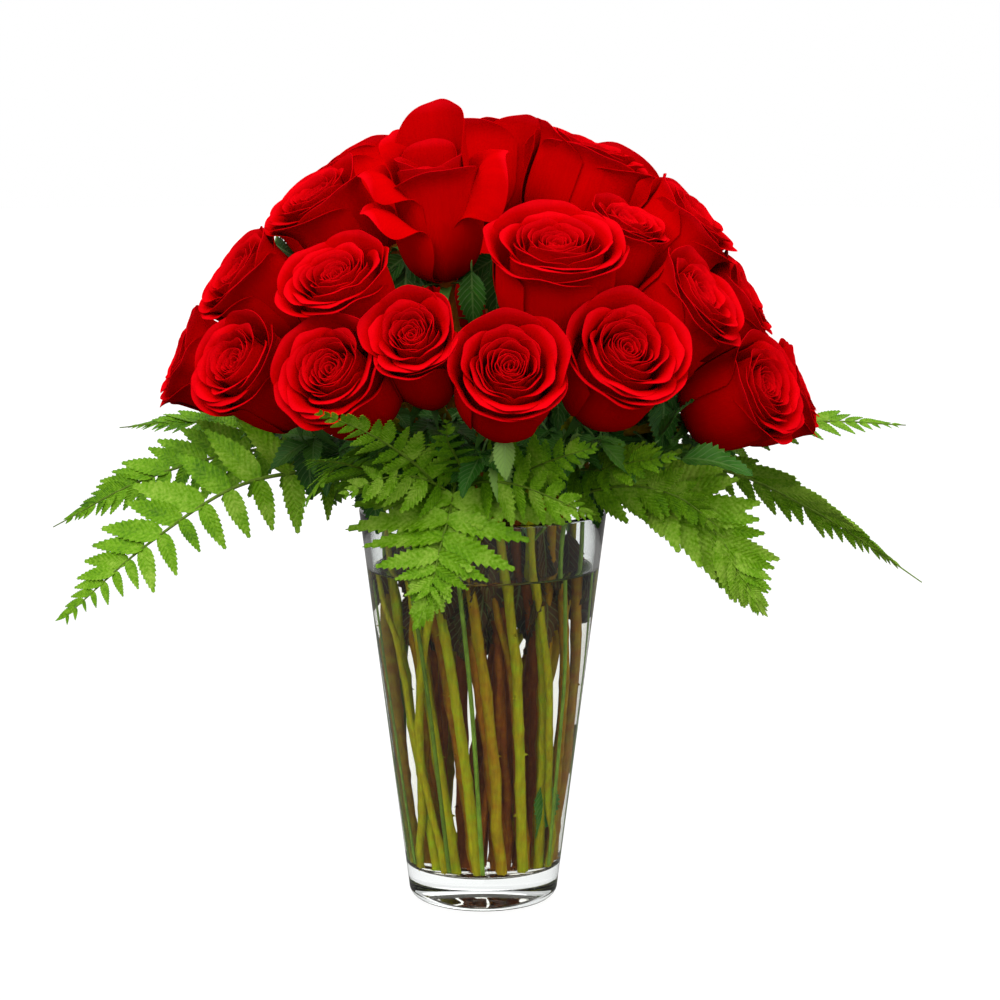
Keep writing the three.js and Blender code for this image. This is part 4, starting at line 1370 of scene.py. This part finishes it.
neck_leaf_draw = np.random.default_rng(62)  # for the leaves in the neck, painted dark brown as shade
draw = np.random.default_rng(61)
for i in range(BRANCHES):
    slot = 360 / BRANCHES * i + draw.uniform(-7, 7)
    out = np.array([math.cos(math.radians(slot)), math.sin(math.radians(slot)), 0])
    TWIST["branch"] = draw.uniform(20, 95) * (-1 if i % 5 == 2 else 1)
    RING["branch"] = (0.9, 0.62, 0.4)[i % 3]
    aside, up = LOW_REACH if i % 3 < 2 else HIGH_REACH
    end = out * draw.uniform(*aside) + (0, 0, draw.uniform(*up))
    path = smooth_curve([*in_vase("branch", slot, BRANCH_RADIUS), end], np.linspace(0, 1, 70))
    path, radius = with_nodes(path, draw, spacing=30, kink=1.4)
    radius = radius * BRANCH_RADIUS / STEM_RADIUS * draw.uniform(0.75, 1.2)
    line = line_mesh("line", path, {"radius_mm": radius, "tone": (0.7, 0.35, 0.0)[i % 3]})
    branch = run_tree("branch", line, stem_tree, {
        "Sides": 9, "Thorn": thorn, "Thorn Spacing": FEW_THORNS, "Seed": 70 + i,
        "Bark": rose_bark})
    rows = [(path[int(draw.integers(54, 69))], slot + draw.uniform(-60, 60),
             draw.uniform(-30, 22), draw.uniform(22, 30), 3, draw.uniform(0.1, 0.3))
            for _ in range(4)]
    rows += SINGLE_LEAVES.get(i + 1, [])
    # The neck leaves get the lowest tones, dark brown: painted shade in the neck of the vase.
    for level in NECK_LEVELS if i % 3 else FEW_NECK_LEVELS:
        at = path[np.argmin(np.abs(path[:, 2] - level - neck_leaf_draw.uniform(-6, 6)))] * INWARDS
        rows.append((at, slot + neck_leaf_draw.uniform(-90, 90), neck_leaf_draw.uniform(72, 88),
                     neck_leaf_draw.uniform(32, 44), 1, neck_leaf_draw.uniform(-0.5, -0.2)))
    mesh = joined_mesh(f"branch_{i + 1:02d}", [
        (branch, rose_bark), *leaf_blades(rows, 2000 + 10 * i)])
    place(mesh.name, mesh, "rose_stem_and_leaf")
print(BRANCHES, "branches")

# %% [markdown]
# ## Ferns
#
# Leatherleaf fern is the florist's usual green: a wiry stalk, and a long triangle of
# leaflets in pairs that shorten towards the tip. Each leaflet is itself cut into teeth.
# There are nearly six hundred of them, so the leaflet is one shape of a few dozen faces
# and a tree sets it along the rib, above the bare stalk.


# %% One fern leaflet
def fern_leaflet(lobes, width, notch, curl, thick):
    """A toothed lance of length 1 along +X, with its upper side towards +Z."""

    def half(share):
        return width * math.sin(math.pi * (0.03 + 0.97 * share) ** 0.62) ** 0.85 + 0.004

    top, faces = [], []
    for k in range(lobes + 1):
        share = k / lobes
        low, y = -curl * share**2, half(share) * notch
        top.append((share, 0, low))
        top += [(share - 0.25 / lobes, side * y, low + 0.22 * y) for side in (-1, 1)]
        if k < lobes:
            tip, y = share + 0.62 / lobes, half(share + 0.3 / lobes)
            top += [(tip, side * y, -curl * tip**2 + 0.16 * y) for side in (-1, 1)]
            a, b = 5 * k, 5 * k + 5
            faces += [(a, a + 1, a + 3, b + 1, b), (a, b, b + 2, a + 4, a + 2)]
    top = np.array(top)
    top[:3, 0] = 0.0
    n, sides = len(top), [(f[i], f[(i + 1) % 5]) for f in faces for i in range(5)]
    rim = [(q, p, p + n, q + n) for p, q in sides if (q, p) not in sides]
    bottom = [tuple(i + n for i in reversed(f)) for f in faces]
    corners = np.concatenate([top + (0, 0, thick), top - (0, 0, thick)])
    return corners / MM, [*faces, *bottom, *rim]


def fern_template(name, *measures):
    """The leaflet as a hidden shape; each corner keeps how far onward and aside it is."""
    mesh = make_mesh(name, *fern_leaflet(*measures), sharp=50)
    places = np.array([v.co for v in mesh.vertices])
    keep_marks(mesh, {"onward": places[:, 0], "aside": np.abs(places[:, 1])})
    return template(name, mesh)


slim_leaflet = fern_template("slim_leaflet", 10, 0.19, 0.86, 0.10, 0.007)
cut_leaflet = fern_template("cut_leaflet", 10, 0.17, 0.70, 0.16, 0.006)
broad_leaflet = fern_template("broad_leaflet", 8, 0.25, 0.74, 0.12, 0.007)
print("fern leaflet:", len(slim_leaflet.data.polygons), "faces")

# %% [markdown]
# The frond's tree is built in three steps. First, where the leaflets sit: a curve turns
# each pair's number into a place along the rib, closer together towards the tip, and
# every place is doubled, for the leaflets to the left and right of the rib.

# %% Tree for a frond: places
CROWDING = ((0.4, 0.56), (0.7, 0.83))  # (share of the pairs, share of the blade)

frond_tree, add, given = new_tree("frond", {
    "Leaflet": "Object", "Pairs": "Int", "Blade From": "Float", "Blade To": "Float",
    "Longest": "Float", "Across": "Vector", "Splay Foot": "Float", "Splay Tip": "Float",
    "Lopsided": "Float", "Tone": "Float", "Seed": "Int", "Rib": "Material",
    "Blade": "Material"})
curve, tube = tube_along(add, given["Geometry"], 7)
rib = add("GeometryNodeSetMaterial", {"Geometry": tube, "Material": given["Rib"]})
number = add("GeometryNodeInputIndex")
last = add("ShaderNodeMath", {0: given["Pairs"], 1: 1.0}, operation="SUBTRACT")
share = add("ShaderNodeMath", {0: number, 1: last}, operation="DIVIDE")
crowding = add("ShaderNodeFloatCurve", {"Value": share})
for point in CROWDING:
    crowding.mapping.curves[0].points.new(*point)
crowding.mapping.update()
factor = add("ShaderNodeMapRange", {
    "Value": crowding, "To Min": given["Blade From"], "To Max": given["Blade To"]})
on_rib = add(
    "GeometryNodeSampleCurve", {"Curves": curve, "Factor": factor}, mode="FACTOR",
    use_all_curves=True).outputs
spots = add("GeometryNodePoints", {"Count": given["Pairs"], "Position": on_rib["Position"]})
kept = add("GeometryNodeCaptureAttribute", {"Geometry": spots})
kept.capture_items.new("FLOAT", "Share")
kept.capture_items.new("VECTOR", "Tangent")
wire(kept, {"Share": share, "Tangent": on_rib["Tangent"]})
share, tangent = kept.outputs["Share"], kept.outputs["Tangent"]
twins = add("GeometryNodeDuplicateElements", {"Geometry": kept, "Amount": 2}, domain="POINT")
side = add(
    "ShaderNodeMath", {0: twins.outputs["Duplicate Index"], 1: 2.0, 2: -1.0},
    operation="MULTIPLY_ADD")
chance, varied, mottled = [
    add("FunctionNodeRandomValue", {2: low, 3: high, "Seed": given["Seed"]},
        data_type="FLOAT").outputs[1]
    for low, high in ((-0.12, 0.12), (0.9, 1.08), (-0.1, 0.1))]
print(frond_tree.name, "finds the places with", len(frond_tree.nodes), "nodes")

# %% [markdown]
# Then, how each leaflet lies: it leans further forward the nearer it is to the tip, and
# lies in the plane of the rib and the `Across` direction, rolled a little at random.

# %% Tree for a frond: directions
splay = add("ShaderNodeMapRange", {
    "Value": share, "To Min": given["Splay Foot"], "To Max": given["Splay Tip"]})
uneven = add(
    "ShaderNodeMath", {0: side, 1: given["Lopsided"], 2: chance}, operation="MULTIPLY_ADD")
lean = add("ShaderNodeMath", {0: splay, 1: uneven}, operation="ADD")
overlap = add(
    "ShaderNodeVectorMath", {0: given["Across"], 1: tangent}, operation="DOT_PRODUCT")
along_rib = add(
    "ShaderNodeVectorMath", {0: tangent, "Scale": overlap.outputs["Value"]}, operation="SCALE")
squared = add(
    "ShaderNodeVectorMath", {0: given["Across"], 1: along_rib}, operation="SUBTRACT")
sideways = add("ShaderNodeVectorMath", {0: squared}, operation="NORMALIZE")
upwards = add("ShaderNodeVectorMath", {0: tangent, 1: sideways}, operation="CROSS_PRODUCT")
cosine = add("ShaderNodeMath", {0: lean}, operation="COSINE")
signed = add("ShaderNodeMath", {0: side, 1: cosine}, operation="MULTIPLY")
sine = add("ShaderNodeMath", {0: lean}, operation="SINE")
outward = add("ShaderNodeVectorMath", {0: sideways, "Scale": signed}, operation="SCALE")
onward = add("ShaderNodeVectorMath", {0: tangent, "Scale": sine}, operation="SCALE")
direction = add("ShaderNodeVectorMath", {0: outward, 1: onward}, operation="ADD")
roll = add(
    "FunctionNodeRandomValue", {0: (-0.28,) * 3, 1: (0.28,) * 3, "Seed": given["Seed"]},
    data_type="FLOAT_VECTOR")
tipped = add("ShaderNodeVectorMath", {0: upwards, 1: roll}, operation="ADD")
turned = add(
    "FunctionNodeAxesToRotation", {"Primary Axis": direction, "Secondary Axis": tipped},
    primary_axis="X", secondary_axis="Z")
print(frond_tree.name, "finds the directions with", len(frond_tree.nodes), "nodes")

# %% [markdown]
# Last, how long each leaflet is, by a curve that rises from the foot and falls to the
# tip, and how bright. The leaflets that come of it are joined to the rib.

# %% Tree for a frond: leaflets
TAPER = ((0.0, 0.8), (0.12, 1.0), (0.35, 0.9), (0.65, 0.55), (0.85, 0.3), (1.0, 0.2))

taper = add("ShaderNodeFloatCurve", {"Value": share})
line = taper.mapping.curves[0]
line.points[0].location, line.points[1].location = TAPER[0], TAPER[-1]
for point in TAPER[1:-1]:
    line.points.new(*point)
taper.mapping.update()
scaled = add("ShaderNodeMath", {0: taper, 1: given["Longest"]}, operation="MULTIPLY")
longer = add("ShaderNodeMath", {0: uneven, 1: 0.7, 2: varied}, operation="MULTIPLY_ADD")
size = add("ShaderNodeMath", {0: scaled, 1: longer}, operation="MULTIPLY")
shade = add("ShaderNodeMath", {0: given["Tone"], 1: mottled}, operation="ADD")
toned = add(
    "GeometryNodeStoreNamedAttribute", {"Geometry": twins, "Name": "tone", "Value": shade},
    data_type="FLOAT", domain="POINT")
shape = add("GeometryNodeObjectInfo", {"Object": given["Leaflet"]}).outputs["Geometry"]
leaflets = add("GeometryNodeInstanceOnPoints", {
    "Points": toned, "Instance": shape, "Rotation": turned, "Scale": size})
flat = add("GeometryNodeRealizeInstances", {0: leaflets})
green = add("GeometryNodeSetMaterial", {"Geometry": flat, "Material": given["Blade"]})
joined = wire(add("GeometryNodeJoinGeometry", {0: rib}), {0: green})
add("NodeGroupOutput", {0: joined})
print(frond_tree.name, "is complete with", len(frond_tree.nodes), "nodes")

# %% [markdown]
# ### Fern blades and ribs
#
# Fern leaflets are leathery, hardly glossy and bright yellow-green. Each tooth has its
# own pale vein, which leaves the midrib at a slant and lies in a shallow groove. The
# rib is a thin tough stalk, olive to straw-green, with the same waxy skin as a stem.

# %% Fern materials
RIB_STOPS = ((0.0, "#4A5010"), (0.5, "#5C7A1A"), (1.0, "#88AE38"))
FERN_STOPS = ((0.0, "#163000"), (0.3, "#3C7002"), (0.6, "#6AA006"), (1.0, "#A8CC4C"))
TOOTH_VEINS, TOOTH_SLANT = 62.8, -1.1  # ten waves along a leaflet of length 1
CLUMP_MM, GRIT_MM = 12, 1.6

fern_rib = green_skin("fern_rib", RIB_STOPS, 0.55, 0.2)
fern_blade, add, skin = new_material("fern_leaflet_blade")
onward, aside, tone = read_marks(add, ("onward", "aside", "tone"))
here = add("ShaderNodeTexCoord").outputs["Object"]
slant = add(
    "ShaderNodeMath", {0: aside, 1: TOOTH_SLANT, 2: onward}, operation="MULTIPLY_ADD")
spread = add("ShaderNodeMath", {0: slant, 1: TOOTH_VEINS}, operation="MULTIPLY")
wave = add("ShaderNodeMath", {0: spread}, operation="COSINE")
middle = add("ShaderNodeMapRange", {
    "Value": aside, "From Max": 0.03, "To Min": 1.0, "To Max": 0.0})
vein = add("ShaderNodeMapRange", {"Value": wave, "From Min": 0.2})
veins = add("ShaderNodeMath", {0: vein, 1: middle}, operation="MAXIMUM")
patches, grit = [
    add("ShaderNodeTexNoise", {"Vector": here, "Scale": 1 / (mm * MM), "Detail": 3.0})
    for mm in (CLUMP_MM, GRIT_MM)]
shade = add("ShaderNodeMath", {0: patches, 1: 0.9, 2: tone}, operation="MULTIPLY_ADD")
fine = add("ShaderNodeMath", {0: grit, 1: 0.85, 2: shade}, operation="MULTIPLY_ADD")
pick = add("ShaderNodeMapRange", {"Value": fine, "From Min": 0.75, "From Max": 1.95})
green = add("ShaderNodeValToRGB", {0: pick})
set_stops(green, FERN_STOPS)
pale = add("ShaderNodeMath", {0: veins, 1: 0.15}, operation="MULTIPLY")
veined = add("ShaderNodeMix", {0: pale, 6: green, 7: linear("#A0C446")}, data_type="RGBA")
groove = add(
    "ShaderNodeBump", {"Height": wave, "Strength": 0.4, "Distance": 0.3 * MM}, invert=True)
rough = add("ShaderNodeBump", {
    "Height": grit, "Strength": 0.7, "Distance": 0.3 * MM, "Normal": groove})
wire(skin, {"Base Color": veined.outputs[2], "Roughness": 0.6, "IOR": 1.4,
            "Specular IOR Level": 0.2, "Normal": rough})
print(fern_rib.name, fern_blade.name)

# %% Fern table
# The tone column is partly each frond's own green and partly painted light: the fronds on the
# right, which are lit less, have lighter tones.
# slot, way along the rib, way across, width, leaflet, pairs, tone, splay, lopsided, end
FERNS = [
    (-172, ((-90, -34, 254), (-134, -46, 250), (-186, -54, 218), (-232, -58, 178)),
     (0.2, -0.5, -1), 66, slim_leaflet, 15, 0.6, (0.1, 1.0), 0.26, 1.0),
    (174, ((-90, -4, 264), (-140, -6, 262), (-196, -8, 246), (-246, -12, 220)),
     (0.2, -0.5, -1), 56, slim_leaflet, 17, 0.5, (0.5, 1.32), 0.1, 0.97),
    (154, ((-84, 26, 256), (-128, 36, 266), (-172, 40, 274), (-214, 44, 270)),
     (0, -1, -0.5), 50, slim_leaflet, 17, 0.42, (0.5, 1.32), 0.1, 0.97),
    (-104, ((-14, -88, 252), (-18, -108, 240), (-24, -120, 216), (-34, -122, 186)),
     (1, 0, 0.1), 46, broad_leaflet, 14, 0.66, (0.7, 1.15), 0.0, 1.0),
    (-132, ((-44, -90, 258), (-58, -122, 268), (-74, -150, 277), (-88, -176, 282)),
     (0.8, -0.3, 0.4), 46, cut_leaflet, 14, 0.4, (0.5, 1.15), 0.0, 1.0),
    (-40, ((80, -58, 250), (106, -80, 247), (132, -88, 224), (154, -92, 184)),
     (1, -0.3, 0.5), 74, slim_leaflet, 16, 0.72, (0.75, 1.25), 0.0, 0.98),
    (-12, ((90, -16, 258), (140, -26, 254), (196, -34, 228), (248, -40, 193)),
     (0.25, -0.7, 0.7), 56, slim_leaflet, 18, 0.7, (0.75, 1.32), 0.12, 0.95),
    (20, ((88, 26, 256), (140, 34, 264), (196, 38, 274), (248, 40, 272)),
     (0, -1, -0.5), 50, slim_leaflet, 14, 0.55, (0.4, 1.2), 0.1, 0.98),
    (64, ((40, 84, 252), (62, 126, 256), (84, 172, 240), (100, 212, 208)),
     (1, -0.5, -0.2), 78, slim_leaflet, 17, 0.45, (0.3, 1.1), 0.05, 1.0),
    (112, ((-40, 84, 252), (-62, 130, 252), (-84, 176, 232), (-98, 212, 200)),
     (1, 0.5, 0.2), 78, slim_leaflet, 17, 0.4, (0.3, 1.1), 0.05, 1.0),
]
SPRIGS = [  # short fronds that fill the collar: the same columns after the slot
    (((-14, -88, 257), (-17, -107, 245), (-22, -119, 228), (-27, -124, 206)),
     (1, 0, 0.1), 100, cut_leaflet, 8, 0.66, (-0.12, 0.8), 0.0, 1.0),
    (((-20, -84, 246), (-34, -128, 272), (-58, -162, 294), (-81, -184, 307)),
     (0.7, -0.2, 0.8), 42, broad_leaflet, 14, 0.62, (0.5, 1.15), 0.0, 1.0),
    (((1, -88, 252), (21, -120, 267), (39, -136, 277), (58, -144, 284)),
     (0.7, -0.2, -0.8), 44, broad_leaflet, 11, 0.54, (0.4, 1.1), 0.0, 1.0),
    (((-6, -92, 256), (16, -124, 262), (36, -136, 257), (56, -138, 248)),
     (0.3, -0.3, 1), 44, broad_leaflet, 10, 0.62, (0.3, 1.1), 0.0, 1.0),
    (((-16, -90, 250), (-37, -124, 266), (-52, -138, 267), (-70, -142, 260)),
     (0.3, 0.3, 1), 44, broad_leaflet, 9, 0.62, (0.3, 1.1), 0.0, 1.0),
    (((-50, -78, 256), (-73, -108, 271), (-84, -120, 264), (-96, -122, 250)),
     (0.6, -0.5, 0.6), 46, broad_leaflet, 10, 0.58, (0.3, 1.1), 0.0, 1.0),
    (((52, -70, 246), (82, -92, 256), (106, -98, 251), (129, -98, 234)),
     (0.5, -0.5, 0.7), 46, broad_leaflet, 12, 0.6, (0.5, 1.2), 0.0, 1.0),
    (((-8, -92, 258), (-14, -124, 277), (-18, -140, 288), (-18, -150, 298)),
     (1, 0, 0.1), 34, broad_leaflet, 9, 0.48, (0.4, 1.1), 0.0, 1.0),
    (((44, -64, 258), (66, -98, 266), (82, -112, 272), (100, -122, 276)),
     (0.6, 0.2, 0.8), 42, broad_leaflet, 10, 0.5, (0.4, 1.1), 0.0, 1.0),
    (((70, 30, 262), (104, 58, 268), (132, 80, 256), (152, 96, 238)),
     (0.5, -0.6, 0.5), 56, cut_leaflet, 12, 0.4, (0.3, 1.1), 0.0, 1.0),
    (((-70, 30, 262), (-104, 62, 266), (-130, 88, 254), (-146, 108, 236)),
     (0.5, 0.6, 0.5), 56, cut_leaflet, 12, 0.4, (0.3, 1.1), 0.0, 1.0),
    (((0, 80, 262), (2, 116, 270), (4, 148, 260), (4, 174, 240)),
     (1, 0, 0.1), 60, cut_leaflet, 12, 0.38, (0.3, 1.1), 0.0, 1.0),
]
print(len(FERNS), "fronds and", len(SPRIGS), "sprigs")


# %% Make every frond
STALK_RADIUS, SPRIG_RADIUS = 1.3, 0.8
STALK_CUT = CUT + 2
FROND_POINTS, BARE_FROND_POINTS = 110, 54  # how many of a rib's points come before the blade
SPRIG_POINTS, BARE_SPRIG_POINTS = 60, 15
SPRIG_INWARDS, SPRIG_SUNK = (0.5, 0.5, 1), (0, 0, 34)
LEANING_ALLOWANCE = 1.12  # a leaflet that leans has to be longer to reach the edge


def frond(name, path, bare, row, seed, rib_radius=STALK_RADIUS):
    """The mesh of one frond on this path, whose first `bare` points have no leaflets."""
    across, width, leaflet, count, tone, splay, lopsided, end = row
    length = np.linalg.norm(np.diff(path, axis=0), axis=1)
    length = np.concatenate([[0], np.cumsum(length)])
    length /= length[-1]
    run = path[-1] - path[len(path) // 2]
    across = np.array(across, float) * (1 if np.cross(run, across)[2] > 0 else -1)
    radius = rib_radius * np.clip(1.15 - 0.9 * length**3, 0.2, 1)
    line = line_mesh("line", path, {"radius_mm": radius, "tone": tone})
    mesh = run_tree(name, line, frond_tree, {
        "Leaflet": leaflet, "Pairs": count, "Blade From": float(length[bare]),
        "Blade To": end, "Longest": width / 2 * MM * LEANING_ALLOWANCE, "Across": across,
        "Splay Foot": splay[0], "Splay Tip": splay[1],
        "Lopsided": lopsided * float(np.sign(across[2]) or 1), "Tone": tone, "Seed": seed,
        "Rib": fern_rib, "Blade": fern_blade})
    smooth(mesh)
    return mesh


for i, (slot, way, *row) in enumerate(FERNS):
    name = f"fern_{i + 1:02d}"
    foot = in_vase("fern", slot, STALK_RADIUS, STALK_CUT)
    path = smooth_curve([*foot, *way], np.linspace(0, 1, FROND_POINTS))
    place(f"{name}_frond", frond(name, path, BARE_FROND_POINTS, row, i), "fern", name)
for i, (way, *row) in enumerate(SPRIGS):
    inside = np.array(way[0]) * SPRIG_INWARDS - SPRIG_SUNK
    path = smooth_curve([inside, *way], np.linspace(0, 1, SPRIG_POINTS))
    mesh = frond("sprig", path, BARE_SPRIG_POINTS, row, 40 + i, SPRIG_RADIUS)
    place(f"sprig_{i + 1:02d}", mesh, "fern")
print("ferns and sprigs placed, the last with", len(mesh.polygons), "faces")

# %% [markdown]
# ## Finish
#
# The template shapes have done their work, so they are removed.

# %% Remove the template shapes
for shape in (thorn, sepal, slim_leaflet, cut_leaflet, broad_leaflet):
    bpy.data.objects.remove(shape)
